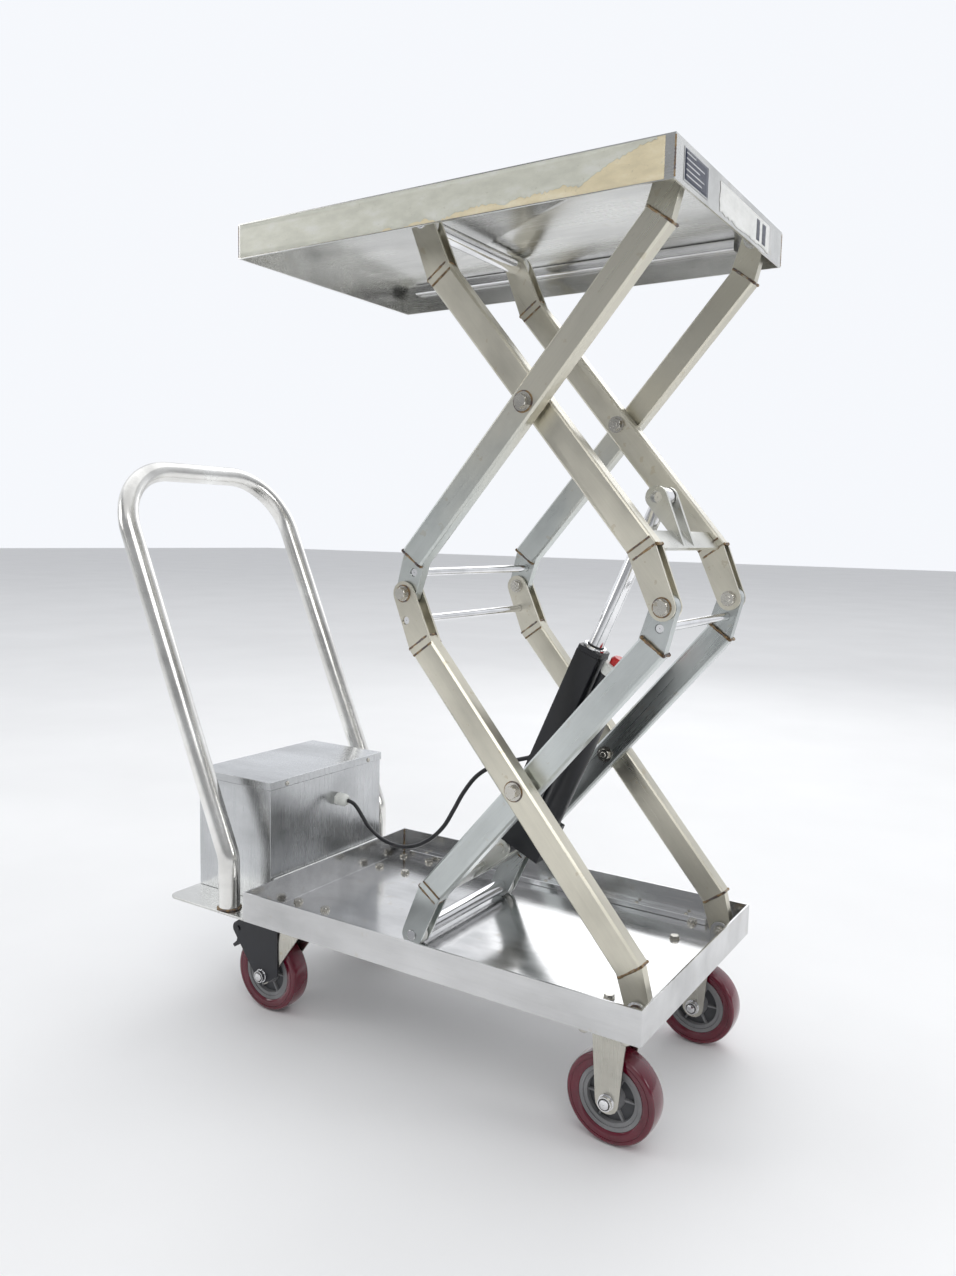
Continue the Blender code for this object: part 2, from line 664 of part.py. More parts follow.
def swivel_fork(x, y):
    """The yoke under the swivel race, with cheeks that trail back to the axle."""
    axle_x = x - TRAIL
    outline = wrapped([(x - 0.070, YOKE_TOP), (x + 0.034, YOKE_TOP), (x - 0.070, YOKE_TOP - 0.006)]
                      + circle((axle_x, WHEEL_RADIUS), 0.016, 14))
    half = CHEEK_IN + 0.001
    yoke = box((x - 0.032, y - half, YOKE_TOP - 0.003), (x + 0.033, y + half, YOKE_TOP))
    race = upright_bar(x, y, 0.027, YOKE_TOP - 0.001, CASTER_UNDER - 0.0006, 20)
    body = join(yoke, cheeks(outline, y) + [race])
    return join(body, [axle(axle_x, y, COVER_OUT + GAP)])


def brake_cover(x, y):
    """Two side plates and a back bridge, outside the swivel fork."""
    axle_x, axle_z = x - TRAIL, WHEEL_RADIUS
    points = circle((axle_x, axle_z), 0.014, 16) + circle((axle_x - 0.055, axle_z + 0.069), 0.012, 16)
    points += [(axle_x + 0.036, axle_z + 0.0065), (axle_x + 0.036, YOKE_TOP - 0.002),
               (axle_x - 0.040, YOKE_TOP + 0.0025), (axle_x - 0.022, YOKE_TOP + 0.0025)]
    outline = wrapped(points)
    plates = [plate_upright(outline, y + side * COVER_IN, y + side * COVER_OUT) for side in (-1, 1)]
    holes = [bar(AXLE_RADIUS + GAP, y - 0.05, y + 0.05, axle_x, axle_z, 12),
             bar(BRAKE_PIN + GAP, y - 0.05, y + 0.05, axle_x - 0.055, axle_z + 0.069, 12)]
    reach = (COVER_IN + COVER_OUT) / 2
    bridge = box((axle_x - 0.039, y - reach, YOKE_TOP + 0.0005),
                 (axle_x - 0.023, y + reach, YOKE_TOP + 0.0024))
    return cut(join(bridge, plates), holes)


def brake_pedal(x, y):
    """The foot lever on its pin, behind the wheel."""
    axle_x, axle_z = x - TRAIL, WHEEL_RADIUS
    pin_x, pin_z = axle_x - 0.055, axle_z + 0.069
    hub = bar(0.009, y - COVER_IN + 0.001, y + COVER_IN - 0.001, pin_x, pin_z, 16)
    pin = bar(BRAKE_PIN, y - COVER_OUT - 0.002, y + COVER_OUT + 0.002, pin_x, pin_z, 12)
    lever = plate_upright([(pin_x - 0.004, pin_z + 0.003), (pin_x + 0.002, pin_z - 0.006),
                           (pin_x - 0.008, pin_z - 0.033), (pin_x - 0.017, pin_z - 0.040),
                           (pin_x - 0.021, pin_z - 0.036), (pin_x - 0.012, pin_z - 0.028)],
                          y - 0.020, y + 0.020)
    return join(hub, [pin, lever])


def build_casters():
    for side, sign in (("left", -1), ("right", 1)):
        x, y = FRONT_CASTER[0], sign * FRONT_CASTER[1]
        add_part(f"fixed_fork_{side}", fixed_fork(x, y), ZINC)
        name = f"front_wheel_{side}"
        add_part(name, shifted(wheel(), x, y, WHEEL_RADIUS), RED, name)
        x, y = REAR_CASTER[0], sign * REAR_CASTER[1]
        add_part(f"swivel_plate_{side}", caster_plate(x, y), ZINC)
        add_part(f"swivel_fork_{side}", swivel_fork(x, y), ZINC, f"swivel_{side}")
        name = f"rear_wheel_{side}"
        add_part(name, shifted(wheel(), x - TRAIL, y, WHEEL_RADIUS), RED, name)
        add_part(f"brake_cover_{side}", brake_cover(x, y), BLACK, f"swivel_{side}")
        add_part(f"brake_pedal_{side}", brake_pedal(x, y), BLACK, f"brake_{side}")


# ---------------------------------------------------------------- push handle
def fillet(before, corner, after, radius, steps):
    """Points on the arc of a given radius that rounds off a corner."""
    inward, outward = (before - corner).normalized(), (after - corner).normalized()
    half = inward.angle(outward) / 2
    centre = corner + (inward + outward).normalized() * radius / math.sin(half)
    start = corner + inward * radius / math.tan(half) - centre
    normal = inward.cross(outward)
    sweep = math.pi - 2 * half
    turn = [Matrix.Rotation(-sweep * index / steps, 3, normal) for index in range(steps + 1)]
    return [centre + matrix @ start for matrix in turn]


def build_handle():
    """A U of round tube: two upright feet, knees, sloping legs and a top bar."""
    foot = Vector((HANDLE_FOOT_X, -HANDLE_Y, TRAY_Z + DECK_PLATE + GAP))
    knee = Vector((HANDLE_FOOT_X, -HANDLE_Y, HANDLE_KNEE_Z))
    corner = Vector((HANDLE_TOP.x, -HANDLE_Y, HANDLE_TOP.z))
    far_corner = Vector((corner.x, HANDLE_Y, corner.z))
    half = [foot] + fillet(foot, knee, corner, HANDLE_KNEE, 4)
    half += fillet(knee, corner, far_corner, HANDLE_BEND, 9)
    other = [Vector((point.x, -point.y, point.z)) for point in reversed(half)]
    add_part("push_handle", tube(half + other, HANDLE_RADIUS, 3), STEEL)


# ---------------------------------------------------------------- control box
GLAND = Vector((BOX_FRONT, 0.025, TRAY_Z + 0.150))
BOX_FLOOR = TRAY_Z + DECK_PLATE + GAP
LID_FOLD = 0.014


def build_box():
    half = BOX_WIDTH / 2
    shell = box((BOX_REAR, -half, BOX_FLOOR), (BOX_FRONT, half, BOX_TOP - 0.003))
    inside = box((BOX_REAR + BOX_SHEET, -half + BOX_SHEET, BOX_FLOOR + BOX_SHEET),
                 (BOX_FRONT - BOX_SHEET, half - BOX_SHEET, BOX_TOP + 0.1))
    entry = moved(bar(0.0083, -0.01, 0.01), Matrix.Translation(GLAND) @ Matrix.Rotation(math.pi / 2, 4, "Z"))
    add_part("control_box", cut(shell, [inside, entry]), STEEL)

    grow = BOX_SHEET + 0.0006
    lid = box((BOX_REAR - grow, -half - grow, BOX_TOP - LID_FOLD), (BOX_FRONT + grow, half + grow, BOX_TOP))
    under = box((BOX_REAR - 0.0006, -half - 0.0006, BOX_TOP - 0.1),
                (BOX_FRONT + 0.0006, half + 0.0006, BOX_TOP - BOX_SHEET))
    add_part("box_lid", cut(lid, [under]), STEEL)

    floor = BOX_FLOOR + BOX_SHEET + GAP
    middle = (BOX_FRONT + BOX_REAR) / 2
    battery = box((middle - 0.050, -0.130, floor), (middle + 0.048, 0.021, floor + 0.095))
    add_part("battery", battery, PLASTIC)
    controller = box((middle - 0.045, 0.045, floor), (middle + 0.045, 0.120, floor + 0.030))
    add_part("motor_controller", controller, GREEN)

    length, nut = 0.024, 0.006
    profile = [(CABLE_RADIUS + GAP, -0.012), (0.0080, -0.012), (0.0080, GAP), (0.0125, GAP), (0.0125, nut),
               (0.0105, nut + 0.001), (0.0115, nut + 0.002), (0.0115, length - 0.006),
               (0.0070, length), (CABLE_RADIUS + GAP, length), (CABLE_RADIUS + GAP, -0.012)]
    gland = moved(turned(profile, 14), Matrix.Translation(GLAND) @ Matrix.Rotation(-math.pi / 2, 4, "Z"))
    add_part("cable_gland", gland, GREY)


# ---------------------------------------------------------------- actuator
def actuator_block(a_from, a_to, b_from, b_to, half_y):
    """A block in the actuator's own frame: a runs from the tail pin to the head pin."""
    return box((a_from, -half_y, b_from), (a_to, half_y, b_to))


def lug_bracket(pin, slew, foot_from, foot_to, foot_off):
    """A cross plate between the inner arms with two lugs for an actuator pin at (along, off)."""
    width = INNER_Y - TUBE_WIDTH / 2 - 0.0008
    slant = Matrix.Rotation(-math.atan(slew), 4, "Y")
    slab = box((foot_from, -width, -0.003), (foot_to, width, 0.003))
    foot = moved(slab, Matrix.Translation((0, 0, foot_off)) @ slant)
    points = []
    for along in (foot_from + 0.001, foot_to - 0.001):
        for off in (-0.002, 0.002):
            points.append((along, foot_off + along * slew + off))
    outline = wrapped(points + circle(pin, 0.016, 20))
    lugs = [plate_upright(outline, side * LUG_IN, side * (LUG_IN + LUG)) for side in (-1, 1)]
    return join(foot, lugs)


def build_actuator_brackets():
    tail = (ACTUATOR_TAIL.x, ACTUATOR_TAIL.y)
    reach = LUG_IN + LUG + 0.003
    lower = lug_bracket(tail, -ARM_SLEW, -0.262, -0.220, -0.006)
    lower = join(lower, [bar(PIN_RADIUS, -reach, reach, *tail, 16)])
    lower = moved(lower, Matrix.Translation(LOWER_CENTRE) @ RISING)
    add_part("actuator_lower_bracket", lower, ARM_STEEL, "inner_lower_arms")
    head = (-ACTUATOR_HEAD.x, ACTUATOR_HEAD.y)
    upper = lug_bracket(head, ARM_SLEW, 0.226, 0.256, 0.008)
    upper = cut(upper, [bar(PIN_RADIUS + GAP, -0.05, 0.05, *head, 16)])
    upper = moved(upper, Matrix.Translation(UPPER_CENTRE) @ FALLING)
    add_part("actuator_upper_bracket", upper, ARM_STEEL, "inner_upper_arms")


def build_actuator():
    """The drive's housing and motor, the body beside it, and the rod, from tail pin to head pin."""
    endwise = Matrix.Rotation(math.pi / 2, 4, "Y")
    pin_hole = bar(PIN_RADIUS + GAP, -0.03, 0.03)
    housing = actuator_block(0.016, ACTUATOR_GEARS, -0.066, 0.022, 0.024)
    eye = bar(0.014, -0.0125, 0.0125)
    neck = actuator_block(0.0, 0.030, -0.011, 0.011, 0.0125)
    motor_length = MOTOR_END - ACTUATOR_GEARS
    motor = flat_curve([circle((0, 0), MOTOR_RADIUS, 24)], motor_length + 0.010)
    middle = ACTUATOR_GEARS + motor_length / 2 - 0.005
    motor = moved(motor, Matrix.Translation((middle, 0, MOTOR_OFF)) @ endwise)
    drive = cut(join(housing, [eye, neck, motor]), [pin_hole])
    add_part("actuator_gear_motor", moved(drive, ALONG_ACTUATOR), BLACK, "actuator_body")

    half = ACTUATOR_HALF
    start, end = ACTUATOR_GEARS + GAP, ACTUATOR_BODY
    bore = circle((0, 0), PISTON_RADIUS + 0.0006, 20)
    section = flat_curve([rounded(-half, half, -half, half, 0.004, 2), bore], end - start)
    outer = moved(section, Matrix.Translation(((start + end) / 2, 0, 0)) @ endwise)
    add_part("actuator_tube", moved(outer, ALONG_ACTUATOR), BLACK, "actuator_body")

    rod = bar(PISTON_RADIUS, -ACTUATOR_LENGTH + 0.010, -ROD_START, sides=20)
    rod = moved(rod, Matrix.Rotation(math.pi / 2, 4, "Z"))
    eye = shifted(bar(0.0145, -0.0125, 0.0125, sides=20), x=ACTUATOR_LENGTH)
    pin = bar(PIN_RADIUS, -0.0155, 0.0155, ACTUATOR_LENGTH, 0, 16)
    add_part("actuator_piston_rod", moved(join(rod, [eye, pin]), ALONG_ACTUATOR), BRIGHT, "actuator_rod")


# ---------------------------------------------------------------- actuator cable
CABLE_IN = ALONG_ACTUATOR @ Vector((0.150, 0, 0.024 + GAP))
CABLE_ROUTE = (
    (-0.3109, 0.0245, 0.1412), (-0.2960, 0.0230, 0.1262), (-0.2810, 0.0210, 0.1125),
    (-0.2489, 0.0130, 0.1001), (-0.2078, -0.0030, 0.0996), (-0.1618, -0.0260, 0.1104),
    (-0.1273, -0.0355, 0.1235), (-0.0981, -0.0395, 0.1429), (-0.0744, -0.0420, 0.1669),
    (-0.0566, -0.0420, 0.1961), (-0.0410, -0.0380, 0.2263), (-0.0236, -0.0275, 0.2534),
    (-0.0007, -0.0140, 0.2710), (0.0250, -0.0030, 0.2800),
)


def smooth_route(points, spacing):
    """Evenly spaced points on the Catmull-Rom curve through a list of points."""
    ends = [points[0] * 2 - points[1]] + points + [points[-1] * 2 - points[-2]]
    fine = []
    for index in range(len(points) - 1):
        p0, p1, p2, p3 = ends[index:index + 4]
        for step in range(24):
            t = step / 24
            fine.append(0.5 * (2 * p1 + (p2 - p0) * t + (2 * p0 - 5 * p1 + 4 * p2 - p3) * t ** 2
                               + (3 * p1 - p0 - 3 * p2 + p3) * t ** 3))
    fine.append(points[-1])
    total = sum((b - a).length for a, b in zip(fine, fine[1:]))
    count = round(total / spacing)
    made, walked, goal = [fine[0]], 0.0, 1
    for a, b in zip(fine, fine[1:]):
        walked += (b - a).length
        if walked >= goal * total / count and goal < count:
            made.append(b)
            goal += 1
    return made + [fine[-1]]


def build_cable():
    start = GLAND + Vector((0.024 + GAP, 0, 0))
    route = [start, start + Vector((0.011, 0, -0.0021))]
    route += [Vector((TRAY_X + x, y, TRAY_Z + z)) for x, y, z in CABLE_ROUTE]
    route += [CABLE_IN]
    add_part("actuator_cable", tube(smooth_route(route, 0.016), CABLE_RADIUS, 2), PLASTIC)


def main():
    add_bodies()
    build_base()
    build_casters()
    build_handle()
    build_box()
    build_arms()
    build_pivots()
    build_rollers()
    build_platform()
    build_actuator_brackets()
    build_actuator()
    build_cable()


main()
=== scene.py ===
"""Looks of an electric double-scissor lift table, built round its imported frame.

Every length is in metres in the frame's own axes: +X towards the fixed casters, +Z up.
"""
from __future__ import annotations

import json
import logging
import math
from dataclasses import dataclass, field
from enum import Enum

import bmesh
import bpy
import numpy as np
from mathutils import Matrix, Vector

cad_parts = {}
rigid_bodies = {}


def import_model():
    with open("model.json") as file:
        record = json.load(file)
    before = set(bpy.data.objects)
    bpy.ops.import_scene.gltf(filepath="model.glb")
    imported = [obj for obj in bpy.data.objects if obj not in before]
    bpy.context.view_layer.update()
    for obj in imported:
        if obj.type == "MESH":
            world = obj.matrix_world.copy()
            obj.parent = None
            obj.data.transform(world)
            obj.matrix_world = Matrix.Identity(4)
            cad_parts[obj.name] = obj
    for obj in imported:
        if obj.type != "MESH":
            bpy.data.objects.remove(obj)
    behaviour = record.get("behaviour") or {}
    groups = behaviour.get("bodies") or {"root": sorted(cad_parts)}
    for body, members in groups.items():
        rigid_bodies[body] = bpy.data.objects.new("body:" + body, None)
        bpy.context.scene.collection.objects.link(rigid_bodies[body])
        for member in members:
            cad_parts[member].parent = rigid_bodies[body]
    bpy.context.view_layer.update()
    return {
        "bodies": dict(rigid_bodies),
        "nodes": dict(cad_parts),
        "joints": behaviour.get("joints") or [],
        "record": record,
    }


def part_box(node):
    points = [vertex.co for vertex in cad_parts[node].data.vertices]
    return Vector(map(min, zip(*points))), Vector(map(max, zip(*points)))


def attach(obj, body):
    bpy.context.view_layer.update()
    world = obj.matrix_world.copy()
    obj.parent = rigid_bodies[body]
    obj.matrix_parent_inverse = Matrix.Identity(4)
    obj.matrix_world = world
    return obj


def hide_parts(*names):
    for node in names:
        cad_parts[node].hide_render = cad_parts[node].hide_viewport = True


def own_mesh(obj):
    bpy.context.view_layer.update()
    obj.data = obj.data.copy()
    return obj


LOG = logging.getLogger("lift_table")

Array = np.ndarray
Colour = tuple[float, float, float]
TAU = 2 * math.pi
CORE = 0.0005  # the small hole along a turned piece's axis that keeps its faces four-sided
MIX_FIRST = 6  # the Mix node's colour inputs and output, by number
MIX_SECOND = 7
MIX_COLOUR = 2


class Side(Enum):
    """The two sides of the table, by the sign of Y."""

    LEFT = -1
    RIGHT = 1

    @property
    def word(self) -> str:
        """The side's word in the frame's node names."""
        return self.name.lower()


class End(Enum):
    """How an arm ends: a fork of two plates, or one tongue."""

    FORK = 0.254
    TONGUE = 0.278


# ---------------------------------------------------------------- shader tools
class Wire:
    """A shader value that adds Math nodes when it is used in an expression."""

    def __init__(self, graph: "Graph", socket: bpy.types.NodeSocket) -> None:
        """Args:
            graph: the node graph that the value belongs to.
            socket: the output that carries it.
        """
        self.graph = graph
        self.socket = socket

    def _math(self, operation: str, *values: object) -> "Wire":
        """One Math node on these values."""
        return self.graph.node("ShaderNodeMath", {"operation": operation}, dict(enumerate(values)))

    def __add__(self, other: object) -> "Wire":
        """Sum."""
        return self._math("ADD", self, other)

    __radd__ = __add__

    def __sub__(self, other: object) -> "Wire":
        """Difference."""
        return self._math("SUBTRACT", self, other)

    def __rsub__(self, other: object) -> "Wire":
        """Difference with the sides swapped."""
        return self._math("SUBTRACT", other, self)

    def __mul__(self, other: object) -> "Wire":
        """Product."""
        return self._math("MULTIPLY", self, other)

    __rmul__ = __mul__

    def __gt__(self, other: object) -> "Wire":
        """1 where this value is the larger."""
        return self._math("GREATER_THAN", self, other)


class Graph:
    """A material's nodes, with one method that adds any node."""

    def __init__(self, name: str) -> None:
        """Args:
            name: the material's name.
        """
        self.material = bpy.data.materials.new(name)
        self.material.use_nodes = True
        self.tree = self.material.node_tree
        self.shader = self.tree.nodes["Principled BSDF"]

    def node(self, kind: str, settings: dict[str, object] | None = None,
             inputs: dict[object, object] | None = None, output: int | str = 0) -> Wire:
        """Adds a node.

        Args:
            kind: the node's type.
            settings: its properties, set first; "stops" gives a ramp's (place, colour) pairs.
            inputs: values or wires by input name or number.
            output: which output to return.

        Returns:
            The chosen output as a wire.
        """
        made = self.tree.nodes.new(kind)
        for key, value in (settings or {}).items():
            if key == "stops":
                self._set_stops(made.color_ramp, value)
            else:
                setattr(made, key, value)
        for key, value in (inputs or {}).items():
            self.feed(made.inputs[key], value)
        return Wire(self, made.outputs[output])

    @staticmethod
    def _set_stops(ramp: bpy.types.ColorRamp, stops: list[tuple[float, Colour]]) -> None:
        """Gives a colour ramp its stops.

        Args:
            ramp: the ramp.
            stops: places along it with their colours.
        """
        for index, (place, colour) in enumerate(stops):
            element = ramp.elements[index] if index < 2 else ramp.elements.new(place)
            element.position = place
            element.color = (*colour, 1)

    def feed(self, socket: bpy.types.NodeSocket, value: object) -> None:
        """Links a wire to a socket, or sets a value on it.

        Args:
            socket: the input.
            value: a wire, number, colour or vector.
        """
        if isinstance(value, Wire):
            self.tree.links.new(value.socket, socket)
        elif isinstance(value, tuple) and len(value) == 3 and socket.type == "RGBA":
            socket.default_value = (*value, 1)
        else:
            socket.default_value = value

    def put(self, **inputs: object) -> None:
        """Feeds the shader's inputs; an underscore stands for a space in a name."""
        for key, value in inputs.items():
            self.feed(self.shader.inputs[key.replace("_", " ")], value)

    def place(self, turn: float = 0.0, scale: tuple[float, float, float] = (1, 1, 1)) -> Wire:
        """Object coordinates turned about Y, then stretched.

        Args:
            turn: the angle in radians.
            scale: the stretch along each axis.

        Returns:
            The coordinates as a wire.
        """
        coordinates = self.node("ShaderNodeTexCoord", output="Object")
        turned = self.node("ShaderNodeMapping", {}, {"Vector": coordinates, "Rotation": (0, turn, 0)})
        return self.node("ShaderNodeVectorMath", {"operation": "MULTIPLY"}, {0: turned, 1: scale})

    def noise(self, where: Wire, scale: float, detail: float = 3.0, roughness: float = 0.55) -> Wire:
        """Smooth noise between 0 and 1."""
        return self.node("ShaderNodeTexNoise", {}, {"Vector": where, "Scale": scale, "Detail": detail,
                                                    "Roughness": roughness})

    def ramp(self, value: Wire, stops: list[tuple[float, Colour]]) -> Wire:
        """A colour ramp over a value."""
        return self.node("ShaderNodeValToRGB", {"stops": stops}, {0: value})

    def blend(self, factor: object, first: object, second: object) -> Wire:
        """The first colour turned into the second by a factor."""
        inputs = {"Factor": factor, MIX_FIRST: first, MIX_SECOND: second}
        return self.node("ShaderNodeMix", {"data_type": "RGBA"}, inputs, MIX_COLOUR)

    def bump(self, height: Wire, depth: float, strength: float = 1.0) -> None:
        """Feeds a bump of this depth in metres to the shader's normal."""
        made = self.node("ShaderNodeBump", {}, {"Height": height, "Distance": depth, "Strength": strength})
        self.put(Normal=made)


def shade(colour: Colour, gain: float) -> Colour:
    """A colour made lighter or darker by a gain."""
    return tuple(min(1.0, part * gain) for part in colour)


@dataclass(frozen=True)
class Steel:
    """Brushed stainless sheet or tube, with smears, faint stains and fine scratches.

    turn is the angle about Y that lays the brushing along a slanted tube.
    """

    name: str
    colour: Colour
    roughness: float = 0.30
    turn: float = 0.0
    grain: tuple[float, float, float] = (6.0, 420.0, 420.0)
    smear: float = 0.10
    warm: float = 0.0
    fade: tuple[float, float, Colour] | None = None

    def make(self) -> bpy.types.Material:
        """Returns: the finished material."""
        graph = Graph(self.name)
        fine = graph.noise(graph.place(self.turn, self.grain), 1.0, 2.0, 0.7)
        cloud = graph.noise(graph.place(self.turn, (3.0, 7.0, 7.0)), 1.6, 5.0)
        mottle = graph.noise(graph.place(0.0), 55.0, 4.0, 0.6)
        tone = graph.ramp(cloud, [(0.28, shade(self.colour, 0.74)), (0.50, self.colour),
                                  (0.74, shade(self.colour, 1.22))])
        if self.fade:
            low, high, other = self.fade
            height = graph.node("ShaderNodeSeparateXYZ", {}, {0: graph.place()}, 2)
            share = graph.node("ShaderNodeMapRange", {}, {0: height + (cloud - 0.5) * 0.3, 1: low, 2: high})
            tone = graph.blend(share, tone, other)
        stained = graph.blend((mottle > 0.66) * self.warm, tone, (0.46, 0.36, 0.20))
        streaked = graph.blend(fine * 0.16, stained, shade(self.colour, 0.45))
        rough = (fine - 0.5) * 0.22 + (cloud - 0.5) * self.smear * 2.0 + self.roughness
        graph.put(Base_Color=streaked, Roughness=rough, Metallic=1.0)
        graph.bump(fine * 0.7 + mottle * 0.3, 0.00003, 0.45)
        return graph.material


@dataclass(frozen=True)
class Plating:
    """Pressed steel with zinc plating: spangled, slightly yellow and dulled in patches."""

    name: str
    colour: Colour
    roughness: float = 0.34

    def make(self) -> bpy.types.Material:
        """Returns: the finished material."""
        graph = Graph(self.name)
        patch = graph.noise(graph.place(), 38.0, 5.0, 0.6)
        speck = graph.noise(graph.place(), 420.0, 2.0)
        tone = graph.ramp(patch, [(0.30, shade(self.colour, 0.62)), (0.52, self.colour),
                                  (0.72, shade(self.colour, 1.25))])
        dulled = graph.blend((speck > 0.63) * 0.35, tone, (0.25, 0.21, 0.14))
        graph.put(Base_Color=dulled, Metallic=1.0, Roughness=(patch - 0.5) * 0.4 + self.roughness)
        graph.bump(speck * 0.5 + patch, 0.00008, 0.6)
        return graph.material


@dataclass(frozen=True)
class Moulding:
    """Paint, plastic or rubber: a little uneven in colour and gloss, with a fine grain."""

    name: str
    colour: Colour
    roughness: float
    grain: float = 900.0
    depth: float = 0.00005
    coat: float = 0.0
    uneven: float = 0.18

    def make(self) -> bpy.types.Material:
        """Returns: the finished material."""
        graph = Graph(self.name)
        skin = graph.noise(graph.place(), self.grain, 2.0)
        cloud = graph.noise(graph.place(), 22.0, 4.0)
        tone = graph.ramp(cloud, [(0.3, shade(self.colour, 1 - self.uneven)),
                                  (0.7, shade(self.colour, 1 + self.uneven))])
        rough = (cloud - 0.5) * 0.25 + (skin - 0.5) * 0.12 + self.roughness
        graph.put(Base_Color=tone, Roughness=rough, Coat_Weight=self.coat)
        graph.bump(skin, self.depth, 0.7)
        return graph.material


@dataclass(frozen=True)
class HeatTint:
    """A weld bead: rippled, straw to brown and blue where the heat coloured it."""

    name: str = "weld_bead"

    def make(self) -> bpy.types.Material:
        """Returns: the finished material."""
        graph = Graph(self.name)
        ripple = graph.noise(graph.place(), 700.0, 2.0)
        tint = graph.noise(graph.place(), 90.0, 3.0)
        tone = graph.ramp(tint, [(0.30, (0.40, 0.38, 0.33)), (0.48, (0.30, 0.20, 0.10)),
                                 (0.60, (0.13, 0.11, 0.12)), (0.75, (0.45, 0.42, 0.34))])
        graph.put(Base_Color=tone, Metallic=0.9, Roughness=ripple * 0.3 + 0.30)
        graph.bump(ripple, 0.0003)
        return graph.material


@dataclass(frozen=True)
class ClingFilm:
    """Protective film: cream, half glossy, cockled, with rubbed and lifted patches."""

    name: str
    colour: Colour
    worn: Colour

    def make(self) -> bpy.types.Material:
        """Returns: the finished material."""
        graph = Graph(self.name)
        patch = graph.noise(graph.place(0.0, (1.0, 1.0, 2.4)), 26.0, 6.0, 0.62)
        cockle = graph.noise(graph.place(0.0, (1.0, 1.0, 0.4)), 120.0, 3.0)
        speck = graph.noise(graph.place(), 300.0, 2.0)
        tone = graph.ramp(patch, [(0.34, shade(self.colour, 0.90)), (0.52, self.colour), (0.68, self.worn)])
        dotted = graph.blend((speck > 0.70) * 0.20, tone, (0.30, 0.27, 0.20))
        graph.put(Base_Color=dotted, Roughness=patch * 0.25 + 0.22, Metallic=0.12)
        graph.bump(cockle + patch * 0.6, 0.0007, 0.45)
        return graph.material


WARM_ARM = (0.70, 0.67, 0.57)
COOL_ARM = (0.60, 0.63, 0.62)
ARM_LEAN = math.radians(53.8 - 4.25)

FINISHES = {
    "sheet": Steel("sheet_steel", (0.66, 0.66, 0.64), 0.24, smear=0.14, warm=0.12),
    "tray_floor": Steel("tray_steel", (0.66, 0.66, 0.66), 0.17, smear=0.14, warm=0.16),
    "box": Steel("box_steel", (0.56, 0.57, 0.58), 0.25, grain=(220.0, 220.0, 9.0), smear=0.10),
    "handle": Steel("handle_steel", (0.84, 0.83, 0.80), 0.22, grain=(40.0, 160.0, 60.0), smear=0.08),
    "warm_falling": Steel("warm_arm_falling", WARM_ARM, 0.34, -ARM_LEAN, warm=0.30),
    "bracket": Steel("bracket_steel", (0.66, 0.66, 0.62), 0.30, ARM_LEAN, warm=0.25),
    "fork": Steel("fork_steel", (0.60, 0.58, 0.52), 0.30, grain=(260.0, 260.0, 8.0), warm=0.4),
    "warm_rising": Steel("warm_arm_rising", (0.60, 0.63, 0.61), 0.32, ARM_LEAN, warm=0.22,
                         fade=(0.82, 1.02, WARM_ARM)),
    "cool_rising": Steel("cool_arm_rising", COOL_ARM, 0.31, ARM_LEAN, warm=0.12),
    "bar": Steel("ground_bar", (0.86, 0.86, 0.87), 0.12, grain=(500.0, 12.0, 500.0), smear=0.05),
    "bolt": Steel("bolt_steel", (0.60, 0.58, 0.53), 0.24, grain=(160.0, 160.0, 160.0), warm=0.35),
    "zinc": Plating("caster_zinc", (0.70, 0.67, 0.58)),
    "brake": Moulding("brake_black", (0.012, 0.013, 0.018), 0.38, 600.0, 0.00012),
    "actuator": Moulding("actuator_black", (0.010, 0.011, 0.014), 0.36, 700.0, 0.00010),
    "tread": Moulding("tread_burgundy", (0.120, 0.002, 0.016), 0.17, 260.0, 0.00006, 0.6, 0.22),
    "core": Moulding("core_grey", (0.22, 0.22, 0.225), 0.48, 700.0, 0.00008),
    # painted shade: a darker grey than the core, standing in for the shade deep in the wheels' recesses
    "core_dark": Moulding("core_dark", (0.070, 0.072, 0.078), 0.52, 700.0, 0.00008),
    "nylon": Moulding("roller_nylon", (0.80, 0.80, 0.76), 0.40),
    "gland": Moulding("gland_grey", (0.80, 0.81, 0.77), 0.42),
    "cable": Moulding("cable_jacket", (0.014, 0.014, 0.017), 0.34, 500.0, 0.00006),
    "battery": Moulding("battery_case", (0.03, 0.03, 0.035), 0.5),
    "board": Moulding("board_green", (0.02, 0.13, 0.05), 0.4),
    "plug": Moulding("plug_red", (0.55, 0.02, 0.02), 0.32),
    "seal": Moulding("wiper_seal", (0.02, 0.02, 0.02), 0.6),
    "label": Moulding("label_navy", (0.022, 0.028, 0.055), 0.30, 300.0, 0.00004),
    "label_pale": Moulding("label_pale", (0.62, 0.63, 0.64), 0.35, 300.0, 0.00004),
    "cream": ClingFilm("film_cream", (0.80, 0.70, 0.48), (0.86, 0.78, 0.58)),
    "pale": ClingFilm("film_pale", (0.66, 0.66, 0.57), (0.72, 0.72, 0.66)),
    "white": ClingFilm("film_white", (0.84, 0.84, 0.81), (0.90, 0.90, 0.88)),
    "stain": HeatTint("heat_stain"),
    "weld": HeatTint(),
}


class Paint:
    """Makes each finish once, the first time that it is asked for."""

    made: dict[str, bpy.types.Material] = {}

    @classmethod
    def of(cls, finish: str) -> bpy.types.Material:
        """The material of a finish by its key."""
        if finish not in cls.made:
            cls.made[finish] = FINISHES[finish].make()
        return cls.made[finish]


# ---------------------------------------------------------------- surfaces
def unit(vectors: Array) -> Array:
    """Each row scaled to a length of one."""
    return vectors / np.linalg.norm(vectors, axis=-1, keepdims=True)


